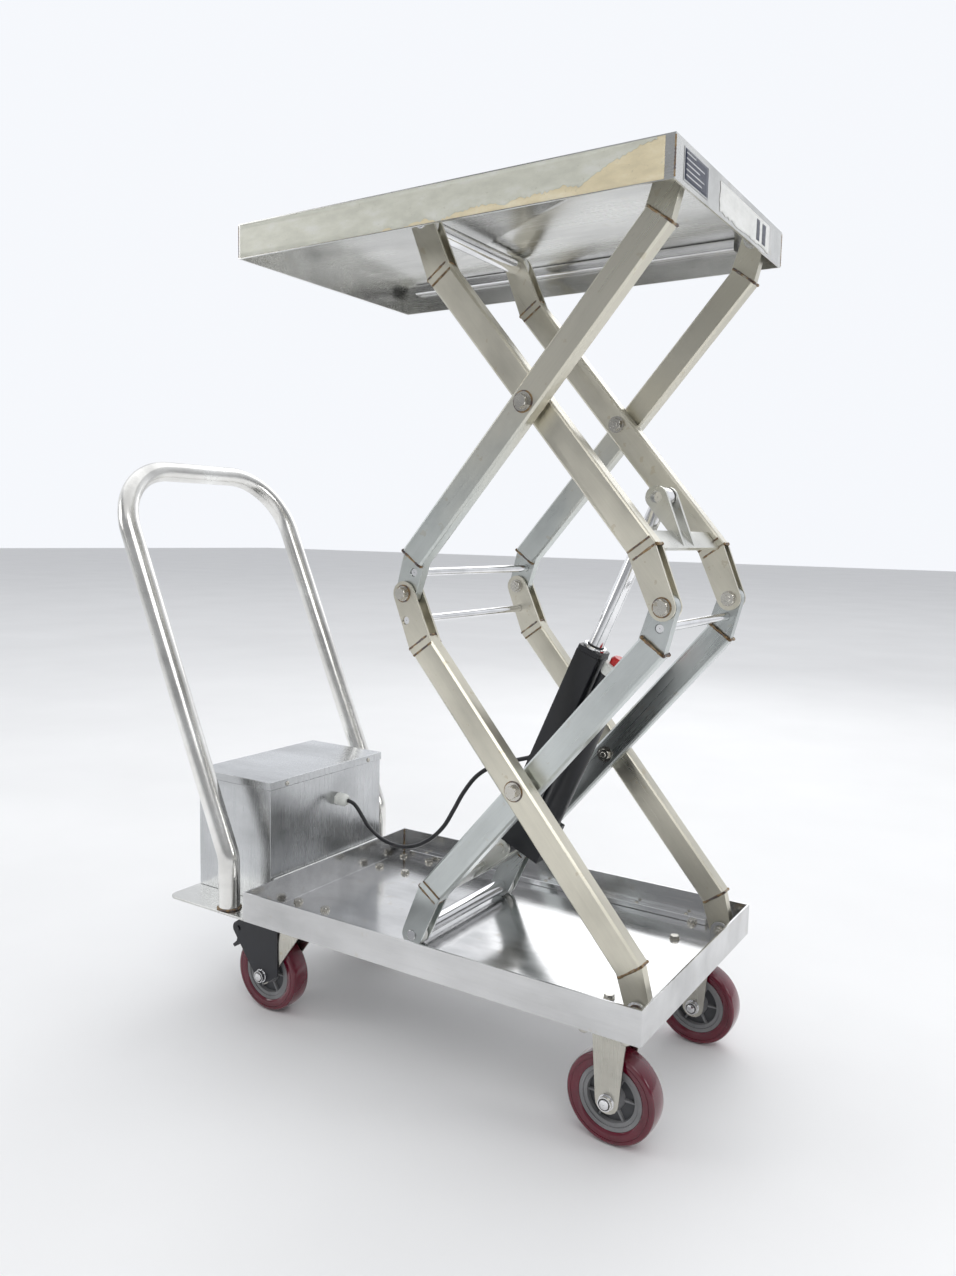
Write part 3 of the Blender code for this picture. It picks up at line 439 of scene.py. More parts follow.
def skin(points: Array, wrap_u: bool, wrap_v: bool, caps: bool = False) -> bpy.types.Mesh:
    """A mesh over a grid of points.

    Args:
        points: array of shape (rows, columns, 3).
        wrap_u: join the last row to the first.
        wrap_v: join the last column to the first.
        caps: close the first and the last row with one face each.

    Returns:
        The mesh, its faces pointing out.
    """
    rows, columns = points.shape[:2]
    row = np.arange(rows if wrap_u else rows - 1)[:, None]
    column = np.arange(columns if wrap_v else columns - 1)[None, :]
    next_row, next_column = (row + 1) % rows, (column + 1) % columns
    corners = (row * columns + column, row * columns + next_column,
               next_row * columns + next_column, next_row * columns + column)
    faces = np.stack([np.broadcast_to(corner, (row.size, column.size)) for corner in corners], -1)
    faces = faces.reshape(-1, 4).tolist()
    if caps:
        faces.append(list(range(columns))[::-1])
        faces.append(list(range((rows - 1) * columns, rows * columns)))
    mesh = bpy.data.meshes.new("skin")
    mesh.from_pydata(points.reshape(-1, 3), [], faces)
    tidy(mesh)
    return mesh


def tidy(mesh: bpy.types.Mesh) -> None:
    """Merges doubled points and turns the faces outwards.

    Args:
        mesh: the mesh, changed in place.
    """
    work = bmesh.new()
    work.from_mesh(mesh)
    bmesh.ops.remove_doubles(work, verts=work.verts, dist=1e-6)
    bmesh.ops.recalc_face_normals(work, faces=work.faces)
    work.to_mesh(mesh)
    work.free()


def lathe(profile: list[tuple[float, float]], steps: int = 48) -> bpy.types.Mesh:
    """A closed turned shape about Y: each (radius, along) point goes round a circle.

    Args:
        profile: the closed outline as (radius, along) points.
        steps: points round the circle.

    Returns:
        The mesh.
    """
    outline = np.array(profile)
    angle = np.linspace(0, TAU, steps, endpoint=False)[:, None]
    radius, along = outline[None, :, 0], outline[None, :, 1]
    points = np.stack([radius * np.cos(angle), along + 0 * angle, radius * np.sin(angle)], -1)
    return skin(points, True, True)


def hexagon(across: float, height: float, hole: float = 0.0) -> bpy.types.Mesh:
    """A hexagon head from y = 0 to y = height, its outer corners chamfered by a circle.

    At each angle the flat's distance is half the width over the cosine of the angle from it,
    and the top ring is held inside a circle a little wider than the flats.

    Args:
        across: width over the flats.
        height: its height.
        hole: radius of the hole through it.

    Returns:
        The mesh.
    """
    angle = np.linspace(0, TAU, 96, endpoint=False)[:, None]
    from_flat = (angle + math.pi / 6) % (math.pi / 3) - math.pi / 6
    flat = across / 2 / np.cos(from_flat)
    level = np.array([0.0, 0.0, 0.80, 1.0, 1.0])[None, :]
    limit = np.array([9.0, 9.0, across * 0.575, across * 0.49, 0.0])[None, :]
    ring = np.arange(5)[None, :]
    radius = np.where((ring == 0) | (ring == 4), hole, np.minimum(flat, limit))
    points = np.stack([radius * np.cos(angle), level * height + 0 * angle, radius * np.sin(angle)], -1)
    return skin(points, True, True)


def sweep(path: Array, radius: Array | float, reference: tuple[float, float, float],
          sides: int = 24, closed: bool = False) -> bpy.types.Mesh:
    """A round tube along a path, with flat ends unless the path closes on itself.

    Each ring lies across the path's direction; its first axis is square to the reference.

    Args:
        path: points along the middle, one row each.
        radius: one radius, or one for each point.
        reference: a direction that the path never takes.
        sides: points round the tube.
        closed: join the end to the start.

    Returns:
        The mesh.
    """
    if closed:
        heading = unit(np.roll(path, -1, 0) - np.roll(path, 1, 0))
    else:
        heading = unit(np.gradient(path, axis=0))
    across = unit(np.cross(heading, np.array(reference)))
    up = np.cross(across, heading)
    angle = np.linspace(0, TAU, sides, endpoint=False)
    ring = np.cos(angle)[None, :, None] * across[:, None] + np.sin(angle)[None, :, None] * up[:, None]
    size = np.broadcast_to(np.asarray(radius, float), (len(path),))
    return skin(path[:, None] + ring * size[:, None, None], closed, True, caps=not closed)


def smooth_route(points: Array, spacing: float) -> Array:
    """Evenly spaced points on the Catmull-Rom curve through a list of points.

    Args:
        points: the points to pass through, one row each.
        spacing: the distance between the new points.

    Returns:
        The new points, one row each.
    """
    ends = np.vstack([2 * points[0] - points[1], points, 2 * points[-1] - points[-2]])
    t = np.linspace(0, 1, 40, endpoint=False)[None, :, None]
    p0, p1, p2, p3 = (ends[index:len(points) - 1 + index][:, None] for index in range(4))
    fine = 0.5 * (2 * p1 + (p2 - p0) * t + (2 * p0 - 5 * p1 + 4 * p2 - p3) * t ** 2
                  + (3 * p1 - p0 - 3 * p2 + p3) * t ** 3)
    fine = np.vstack([fine.reshape(-1, 3), points[-1]])
    walked = np.concatenate([[0], np.cumsum(np.linalg.norm(np.diff(fine, axis=0), axis=1))])
    even = np.linspace(0, walked[-1], round(walked[-1] / spacing) + 1)
    return np.stack([np.interp(even, walked, fine[:, axis]) for axis in range(3)], -1)


def rounded_corner(before: Array, corner: Array, after: Array, radius: float, steps: int) -> Array:
    """Points on the arc that rounds a corner off, found by turning its first spoke.

    Args:
        before: the point that the line comes from.
        corner: the sharp corner.
        after: the point that the line goes to.
        radius: the arc's radius.
        steps: how many points.

    Returns:
        The points, one row each.
    """
    inward, outward = unit(before - corner), unit(after - corner)
    half = math.acos(float(inward @ outward)) / 2
    centre = corner + unit(inward + outward) * radius / math.sin(half)
    first = corner + inward * radius / math.tan(half) - centre
    last = corner + outward * radius / math.tan(half) - centre
    opening = math.pi - 2 * half
    t = np.linspace(0, 1, steps)[:, None]
    spoke = np.sin((1 - t) * opening) * first + np.sin(t * opening) * last
    return centre + spoke / math.sin(opening)


def mirrored(profile: list[tuple[float, float]]) -> list[tuple[float, float]]:
    """The same outline on the other side of y = 0, in the opposite order."""
    return [(radius, -along) for radius, along in reversed(profile)]


def joined(meshes: list[bpy.types.Mesh]) -> bpy.types.Mesh:
    """Several meshes as one.

    Args:
        meshes: the meshes, each in place.

    Returns:
        The new mesh.
    """
    work = bmesh.new()
    for mesh in meshes:
        work.from_mesh(mesh)
    made = bpy.data.meshes.new("joined")
    work.to_mesh(made)
    work.free()
    return made


def placed(mesh: bpy.types.Mesh, matrix: Matrix) -> bpy.types.Mesh:
    """A copy of the mesh moved by a matrix, still facing out.

    Args:
        mesh: the mesh, left as it is.
        matrix: the move, which may mirror.

    Returns:
        The copy.
    """
    made = mesh.copy()
    made.transform(matrix)
    if matrix.determinant() < 0:
        made.flip_normals()
    return made


def at(x: float, y: float, z: float, way: Side = Side.RIGHT) -> Matrix:
    """Moves a shape that points along +Y to a place, pointing to that side."""
    return Matrix.Translation((x, y, z)) @ Matrix.Diagonal((1, way.value, 1, 1))


class Workshop:
    """Turns meshes into finished pieces of the table."""

    def __init__(self, frame: dict[str, object]) -> None:
        """Args:
        """
        self.nodes = frame["nodes"]
        self.slots = {part["node"]: part["material_slot"] for part in frame["record"]["subparts"]}
        self.bodies = {node: body for body, nodes in frame["record"]["behaviour"]["bodies"].items()
                       for node in nodes}

    def piece(self, name: str, mesh: bpy.types.Mesh, finish: str, body: str, slot: str,
              stands_for: tuple[str, ...] = (), bevel: float = 0.0, crease: float = 32.0) -> bpy.types.Object:
        """Makes one piece.

        Args:
            name: the piece's name.
            mesh: its mesh, in place.
            finish: a key of FINISHES.
            body: the CAD body that it moves with.
            slot: the record's material slot; not used.
            stands_for: the CAD nodes that it replaces.
            bevel: width of its rounded edges, or 0.
            crease: the angle in degrees past which an edge stays sharp.

        Returns:
            The object.
        """
        made = bpy.data.objects.new(name, mesh)
        bpy.context.scene.collection.objects.link(made)
        mesh.materials.clear()
        mesh.materials.append(Paint.of(finish))
        mesh.shade_smooth()
        mesh.set_sharp_from_angle(angle=math.radians(crease))
        if bevel:
            edge = made.modifiers.new("edges", "BEVEL")
            edge.width = bevel
            edge.segments = 2
            edge.limit_method = "ANGLE"
            edge.angle_limit = math.radians(40)
            edge.harden_normals = True
        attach(made, body)
        if stands_for:
            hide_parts(*stands_for)
        LOG.info("%s rides on %s", name, body)
        return made

    def refine(self, node: str, finish: str, bevel: float = 0.0008) -> bpy.types.Object:
        """A copy of a CAD node with rounded edges and a finish, in the node's stead.

        Args:
            node: the CAD node.
            finish: a key of FINISHES.
            bevel: width of its rounded edges.

        Returns:
            The object.
        """
        mesh = self.nodes[node].data.copy()
        work = bmesh.new()
        work.from_mesh(mesh)
        bmesh.ops.remove_doubles(work, verts=work.verts, dist=2e-6)
        bmesh.ops.dissolve_limit(work, angle_limit=math.radians(1.0), verts=work.verts, edges=work.edges)
        work.to_mesh(mesh)
        work.free()
        return self.piece(f"{node}_skin", mesh, finish, self.bodies[node], self.slots[node], (node,), bevel)


# ---------------------------------------------------------------- the table's main sizes
@dataclass(frozen=True)
class Layout:
    """Stations of the raised table, worked out from its driving sizes."""

    tray_x: float = 0.1745
    tray_z: float = 0.172
    reach: float = 0.3263
    angle: float = math.radians(53.8)
    pivot_up: float = 0.0213
    outer_y: float = 0.1625
    inner_y: float = 0.1305
    tube_width: float = 0.025
    tube_height: float = 0.040
    slew: float = math.tan(math.radians(4.25))

    @property
    def base_pivot(self) -> Vector:
        """The outer lower arms' pivot on the tray."""
        return Vector((self.tray_x + 0.323, 0, self.tray_z + self.pivot_up))

    def station(self, back: int, up: int) -> Vector:
        """A pivot counted from the base pivot.

        Args:
            back: half arms towards the handle.
            up: half arms upwards.

        Returns:
            The pivot, on the table's middle plane.
        """
        run, rise = self.reach * math.cos(self.angle), self.reach * math.sin(self.angle)
        return self.base_pivot + Vector((-back * run, 0, up * rise))


PLAN = Layout()


# ---------------------------------------------------------------- camera, light and floor
@dataclass
class Studio:
    """A pale floor, soft lights and the camera."""

    camera_place: tuple[float, float, float] = (0.7943 + PLAN.tray_x, -1.3144, 0.6368 + PLAN.tray_z)
    heading: float = math.radians(32.53)
    tilt: float = math.radians(-6.09)
    roll: float = math.radians(-1.18)
    lens: float = 27.63
    floor_size: float = 60.0
    lights: list[tuple[str, Vector, float, float]] = field(default_factory=lambda: [
        ("key", Vector((2.4, -2.4, 3.4)), 2.0, 34.0),
        ("left", Vector((-3.0, -2.2, 1.9)), 1.6, 18.0),
        ("rear", Vector((-0.6, 3.2, 2.6)), 2.4, 24.0),
        ("right", Vector((3.4, 0.8, 1.4)), 1.0, 16.0),
        ("top", Vector((-0.3, 0.3, 9.0)), 16.0, 390.0),
    ])
    greys: tuple[tuple[float, float], ...] = (
        (0.0, 0.30), (0.28, 0.42), (0.46, 0.20), (0.62, 0.50), (0.82, 0.94))

    def build(self) -> None:
        """Makes the camera, the lights, the world and the floor."""
        self._camera()
        for name, place, size, power in self.lights:
            self._light(name, place, size, power)
        self._surroundings()
        self._floor()
        bpy.context.scene.view_settings.view_transform = "Standard"

    def _camera(self) -> None:
        """The camera looks along its middle axis: turned, then tilted, then rolled."""
        turn = (Matrix.Rotation(self.heading, 3, "Z") @ Matrix.Rotation(self.tilt, 3, "X")
                @ Matrix.Rotation(self.roll, 3, "Y") @ Matrix.Rotation(math.pi / 2, 3, "X"))
        lens = bpy.data.cameras.new("camera")
        lens.lens = self.lens
        lens.sensor_width = 36
        lens.sensor_fit = "AUTO"
        made = bpy.data.objects.new("camera", lens)
        made.matrix_world = Matrix.Translation(self.camera_place) @ turn.to_4x4()
        bpy.context.scene.collection.objects.link(made)
        bpy.context.scene.camera = made

    def _surroundings(self) -> None:
        """Soft light from all round: pale past the table, and grey where the near faces reflect it."""
        world = bpy.data.worlds.new("studio")
        world.use_nodes = True
        tree = world.node_tree
        facing = tree.nodes.new("ShaderNodeTexCoord")
        toward = tree.nodes.new("ShaderNodeVectorMath")
        toward.operation = "DOT_PRODUCT"
        toward.inputs[1].default_value = (-0.50, 0.80, 0.33)
        ramp = tree.nodes.new("ShaderNodeValToRGB")
        spread = tree.nodes.new("ShaderNodeMapRange")
        spread.inputs["From Min"].default_value = -1.0
        for index, (place, grey) in enumerate(self.greys):
            element = ramp.color_ramp.elements[index] if index < 2 else ramp.color_ramp.elements.new(place)
            element.position = place
            element.color = (grey * 0.98, grey, grey * 1.04, 1)
        tree.links.new(facing.outputs["Generated"], toward.inputs[0])
        tree.links.new(toward.outputs["Value"], spread.inputs["Value"])
        tree.links.new(spread.outputs[0], ramp.inputs[0])
        tree.links.new(ramp.outputs[0], tree.nodes["Background"].inputs["Color"])
        bpy.context.scene.world = world

    @staticmethod
    def _light(name: str, place: Vector, size: float, power: float) -> None:
        """A square soft light that points at the middle of the table.

        Args:
            name: its name.
            place: where it stands.
            size: the length of its side.
            power: its power in watts.
        """
        lamp = bpy.data.lights.new(name, "AREA")
        lamp.size = size
        lamp.energy = power
        made = bpy.data.objects.new(name, lamp)
        made.location = place
        made.rotation_euler = (Vector((0.1, 0, 0.6)) - place).to_track_quat("-Z", "Y").to_euler()
        bpy.context.scene.collection.objects.link(made)

    def _floor(self) -> None:
        """A flat pale floor with a faint unevenness."""
        half = self.floor_size / 2
        mesh = bpy.data.meshes.new("floor")
        mesh.from_pydata([(-half, -half, -0.0005), (half, -half, -0.0005), (half, half, -0.0005),
                          (-half, half, -0.0005)], [], [(0, 1, 2, 3)])
        graph = Graph("floor_paint")
        cloud = graph.noise(graph.place(), 1.5, 3.0)
        graph.put(Base_Color=graph.ramp(cloud, [(0.3, (0.86, 0.86, 0.86)), (0.7, (0.90, 0.90, 0.90))]),
                  Roughness=0.75)
        mesh.materials.append(graph.material)
        floor = bpy.data.objects.new("floor", mesh)
        bpy.context.scene.collection.objects.link(floor)


# ---------------------------------------------------------------- actuator cable
@dataclass
class Cable:
    """The actuator's cable, hanging from the gland on the control box to the actuator."""

    shop: Workshop
    radius: float = 0.0035
    box_front: float = PLAN.tray_x - 0.3564
    gland_y: float = 0.025
    gland_z: float = PLAN.tray_z + 0.150
    gland_length: float = 0.0243
    entry: tuple[float, float, float] = (0.23140, 0.0, 0.46190)
    keep: float = 0.522
    route: tuple[tuple[float, float, float], ...] = (
        (-0.3109, 0.0245, 0.1412), (-0.2960, 0.0230, 0.1262), (-0.2810, 0.0210, 0.1125),
        (-0.2489, 0.0130, 0.1001), (-0.2078, -0.0030, 0.0996), (-0.1618, -0.0260, 0.1104),
        (-0.1273, -0.0355, 0.1235), (-0.0981, -0.0395, 0.1429), (-0.0744, -0.0420, 0.1669),
        (-0.0566, -0.0420, 0.1961), (-0.0410, -0.0380, 0.2263), (-0.0236, -0.0275, 0.2534),
        (-0.0007, -0.0140, 0.2710), (0.0250, -0.0030, 0.2800),
    )

    def build(self) -> None:
        start = np.array([self.box_front + self.gland_length, self.gland_y, self.gland_z])
        middle = np.array(self.route) + np.array([PLAN.tray_x, 0, PLAN.tray_z])
        corners = np.vstack([start, start + (0.011, 0, -0.0021), middle, self.entry])
        path = smooth_route(corners, 0.004)
        cable = self.shop.piece("cable", sweep(path, self.radius, (0, 1, 0), 16), "cable", "base",
                                "cable_black", ("actuator_cable",))
        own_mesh(cable)
        self._boot(path)

    def _boot(self, path: Array) -> None:
        """The rubber boot round the cable where it enters the actuator, stepped like a bellows.

        Args:
            path: the cable's points.
        """
        heading = Vector((-0.9166, 0, 0.3998))
        foot = Vector(path[-1]) - heading * 0.0040
        along = np.array([0.0, 0.0, 0.0008, 0.0014, 0.0020, 0.0026, 0.0032, 0.0038, 0.0062, 0.0062])
        size = np.array([CORE, 0.0080, 0.0080, 0.0068, 0.0070, 0.0060, 0.0062, 0.0052, 0.0046, CORE])
        boot = lathe(list(zip(size.tolist(), along.tolist())), 40)
        turn = Vector((0, 1, 0)).rotation_difference(heading).to_matrix().to_4x4()
        self.shop.piece("cable_boot", placed(boot, Matrix.Translation(foot) @ turn), "seal", "actuator_body",
                        "actuator_black")


# ---------------------------------------------------------------- fasteners
@dataclass
class Fasteners:
    """Hexagon bolts, washers and screws, on every body that has them."""

    shop: Workshop

    def bolt(self, across: float, height: float, washer: float, thick: float = 0.0016,
             tip: float = 0.0) -> list[bpy.types.Mesh]:
        """A washer on y = 0, a hexagon on it, and the bolt's tip if it shows.

        Args:
            across: the hexagon's width over its flats.
            height: the hexagon's height.
            washer: the washer's diameter.
            thick: the washer's thickness.
            tip: how far the bolt comes through.

        Returns:
            The meshes, pointing along +Y.
        """
        made = [lathe([(CORE, 0), (washer / 2, 0), (washer / 2, thick), (CORE, thick)], 40)]
        made.append(placed(hexagon(across, height), at(0, thick, 0)))
        if tip:
            top = thick + height
            shank, point = across * 0.27, across * 0.22
            made.append(lathe([(CORE, top - 0.001), (shank, top - 0.001), (shank, top + tip - 0.0008),
                               (point, top + tip), (CORE, top + tip)], 32))
        return made

    def pivots(self) -> None:
        """The bolts at every pivot, in place of the plain pins' ends."""
        outer = PLAN.outer_y + PLAN.tube_width / 2
        inner = PLAN.inner_y - PLAN.tube_width / 2
        through = (outer, inner)
        knee = (outer + 0.0005, outer - 0.0255)
        front_knee = (inner + 0.0255, inner - 0.0005)
        cheek = (outer + 0.0002, outer - 0.0252)
        plans = (
            ("lower_centre_pin", (1, 1), "outer_lower_arms", through, (0.017, 0.026)),
            ("upper_centre_pin", (1, 3), "inner_upper_arms", through, (0.017, 0.026)),
            ("rear_middle_pin", (2, 2), "outer_lower_arms", knee, (0.016, 0.022)),
            ("front_middle_pin", (0, 2), "inner_upper_arms", front_knee, (0.019, 0.023)),
            ("base_pivot_pin", (0, 0), "base", cheek, (0.014, 0.018)),
            ("platform_pivot_pin", (0, 4), "platform", cheek, (0.014, 0.018)),
        )
        for name, steps, body, ends, sizes in plans:
            for side in Side:
                self._pivot(name, PLAN.station(*steps), body, ends, sizes, side)

    def _pivot(self, name: str, place: Vector, body: str, ends: tuple[float, float],
               sizes: tuple[float, float], side: Side) -> None:
        """One pivot bolt from its head outside to its nut inside, with the stain round it.

        Args:
            name: the pin's node name without its side.
            place: the pivot on the middle plane.
            body: the body that it moves with.
            ends: how far out the head and the nut sit.
            sizes: the hexagon's width and the washer's diameter.
            side: the side of the table.
        """
        far, near = (end + step for end, step in zip(ends, (0.0004, -0.0003)))
        across, washer = sizes
        tall = 0.0052 if name == "front_middle_pin" else 0.0078
        head = joined(self.bolt(across, tall, washer))
        nut = joined(self.bolt(across, 0.0050, washer, tip=0.0016))
        shank = lathe([(CORE, near), (0.0080, near), (0.0080, far), (CORE, far)], 32)
        parts = [shank, placed(head, at(0, far, 0)), placed(nut, at(0, near, 0, Side.LEFT))]
        if name in ("lower_centre_pin", "upper_centre_pin"):
            low, high = PLAN.inner_y + 0.0133, PLAN.outer_y - 0.0133
            parts.append(lathe([(0.0070, low), (0.0135, low), (0.0135, high), (0.0070, high)], 40))
        move = at(*place, side)
        node = f"{name}_{side.word}"
        self.shop.piece(f"{node}_bolt", placed(joined(parts), move), "bolt", body, "pin_steel", (node,))
        reach = washer / 2 + 0.0020
        ring = lathe([(0.0085, far - 0.0001), (reach, far - 0.0001), (reach - 0.0004, far + 0.0002),
                      (0.0085, far + 0.0002)], 48)
        self.shop.piece(f"{node}_stain", placed(ring, move), "stain", body, "pin_steel")

    def casters(self) -> None:
        """The bolts that hold the caster plates, their heads in the tray and their nuts below."""
        upward = Matrix.Rotation(math.pi / 2, 4, "X")
        head = placed(joined(self.bolt(0.0130, 0.0048, 0.0165, 0.0012)), upward)
        nut = placed(joined(self.bolt(0.0130, 0.0052, 0.0160, 0.0010, 0.0025)), upward.inverted())
        floor, under = PLAN.tray_z + 0.0030, PLAN.tray_z - 0.0043
        meshes = []
        for x, y in ((PLAN.tray_x + 0.2905, 0.160), (PLAN.tray_x - 0.296, 0.150)):
            for dx in (-0.030, 0.030):
                for dy in (-0.0385, 0.0385):
                    for side in Side:
                        place = (x + dx, side.value * (y + dy))
                        meshes.append(placed(head, Matrix.Translation((*place, floor))))
                        meshes.append(placed(nut, Matrix.Translation((*place, under))))
        self.shop.piece("caster_plate_bolts", joined(meshes), "bolt", "base", "pin_steel")


# ---------------------------------------------------------------- casters
@dataclass
class Casters:
    """Four wheels, two fixed forks and two swivel forks with brakes."""

    shop: Workshop
    radius: float = 0.065
    width: float = 0.036
    front: tuple[float, float] = (PLAN.tray_x + 0.2905, 0.160)
    rear: tuple[float, float] = (PLAN.tray_x - 0.296 - 0.051, 0.150)
    ribs: int = 6

    def build(self) -> None:
        """Makes every wheel and dresses every fork."""
        tread, core, shadow = self.tread(), self.core(), self.web()
        for side in Side:
            for axle, (x, y) in (("front", self.front), ("rear", self.rear)):
                node = f"{axle}_wheel_{side.word}"
                place = Matrix.Translation((x, side.value * y, self.radius))
                self.shop.piece(f"{node}_tread", placed(tread, place), "tread", node, "tread_red", (node,))
                self.shop.piece(f"{node}_core", placed(core, place), "core", node, "tread_red")
                # painted shade: this disc's dark grey stands in for the shade between the ribs
                self.shop.piece(f"{node}_web", placed(shadow, place), "core_dark", node, "tread_red")
            self.shop.refine(f"fixed_fork_{side.word}", "fork", 0.0006)
            self.shop.refine(f"swivel_plate_{side.word}", "zinc", 0.0006)
            self.shop.refine(f"swivel_fork_{side.word}", "fork", 0.0006)
            self.shop.refine(f"brake_cover_{side.word}", "brake", 0.0005)
            self.shop.refine(f"brake_pedal_{side.word}", "brake", 0.0012)
            self._races(side)
            self._axle_nuts(side)

    def tread(self) -> bpy.types.Mesh:
        """The cast tread: a crowned face, a rounded shoulder and a stepped side."""
        half, rim = self.width / 2, self.radius
        crown, shoulder = 0.0010, 0.0042
        step = np.linspace(0, 1, 7)
        turn = np.linspace(0.12, math.pi / 2, 8)
        size = np.concatenate([rim - crown * step ** 2, rim - crown - shoulder * (1 - np.cos(turn))])
        out = np.concatenate([step * (half - shoulder), half - shoulder + 0.0038 * np.sin(turn)])
        side = [(0.0575, half - 0.0003), (0.0572, half - 0.0009), (0.0562, half - 0.0009),
                (0.0559, half - 0.0003), (0.0500, half - 0.0008), (0.0480, half - 0.0018),
                (0.0462, half - 0.0030), (0.0455, half - 0.0060)]
        outer = list(zip(size.tolist(), out.tolist())) + side
        return lathe(outer + mirrored(outer[1:]), 128)

    def core(self) -> bpy.types.Mesh:
        """The grey rim, the hub and the ribs between them."""
        half = self.width / 2
        rim = [(0.0462, half - 0.0050), (0.0458, half - 0.0034), (0.0405, half - 0.0035),
               (0.0400, half - 0.0045)]
        hub = [(0.0054, -0.0199), (0.0150, -0.0199), (0.0162, -0.0187), (0.0185, -0.0080), (0.0185, 0.0080),
               (0.0162, 0.0187), (0.0150, 0.0199), (0.0054, 0.0199)]
        inner = [(0.0345, -0.0118), (0.0350, -0.0126), (0.0398, -0.0130), (0.0404, -0.0118), (0.0404, 0.0118),
                 (0.0398, 0.0130), (0.0350, 0.0126), (0.0345, 0.0118)]
        meshes = [lathe(mirrored(rim) + rim, 96), lathe(hub, 64), lathe(inner, 80)]
        for index in range(self.ribs):
            meshes.append(placed(self.rib(), Matrix.Rotation(TAU * index / self.ribs, 4, "Y")))
        return joined(meshes)

    def rib(self) -> bpy.types.Mesh:
        """One flat rib, its section a rounded block that narrows outwards."""
        along = np.linspace(0.0175, 0.0408, 6)[:, None]
        angle = np.linspace(0, TAU, 16, endpoint=False)[None, :]
        half_thick = 0.0021 - 0.020 * (along - 0.0175)
        squarish = np.abs(np.cos(angle)) ** 0.5 * np.sign(np.cos(angle))
        deep = np.abs(np.sin(angle)) ** 0.3 * np.sign(np.sin(angle)) * 0.0098
        points = np.stack([along + 0 * angle, deep + 0 * along, half_thick * squarish], -1)
        return skin(points, False, True, True)

    def web(self) -> bpy.types.Mesh:
        """The disc behind the ribs, coloured dark as painted shade for the shadowed recess between them."""
        return lathe([(0.0180, -0.0050), (0.0403, -0.0050), (0.0403, 0.0050), (0.0180, 0.0050)], 80)

    def _axle_nuts(self, side: Side) -> None:
        """A washer and a bright domed lock nut over each end of the axles.

        Args:
            side: the side of the table.
        """
        nut = joined([lathe([(0.0052, 0.0), (0.0112, 0.0), (0.0112, 0.0012), (0.0052, 0.0012)], 40),
                      placed(hexagon(0.0172, 0.0064, 0.0098), at(0, 0.0012, 0)),
                      lathe([(CORE, 0.0062), (0.0074, 0.0062), (0.0066, 0.0086), (0.0036, 0.0096),
                             (CORE, 0.0098)], 40)])
        plans = ((self.front, 0.0257, "base"), (self.rear, 0.0284, f"swivel_{side.word}"))
        for (x, y), reach, body in plans:
            ends = [placed(nut, at(x, side.value * y + way.value * reach, self.radius, way)) for way in Side]
            self.shop.piece(f"axle_nuts_{body}_{side.word}", joined(ends), "bar", body, "zinc_plate")

    def _races(self, side: Side) -> None:
        """The swivel's ball race: a rolled rim under the plate.

        Args:
            side: the side of the table.
        """
        x, y = self.rear[0] + 0.051, side.value * self.rear[1]
        top = PLAN.tray_z - 0.0050
        rim = lathe([(0.0200, -0.0062), (0.0290, -0.0062), (0.0302, -0.0050), (0.0302, -0.0012),
                     (0.0292, 0.0), (0.0200, 0.0)], 64)
        rim = placed(rim, Matrix.Translation((x, y, top)) @ Matrix.Rotation(math.pi / 2, 4, "X"))
        self.shop.piece(f"swivel_race_{side.word}", rim, "zinc", f"swivel_{side.word}", "zinc_plate")


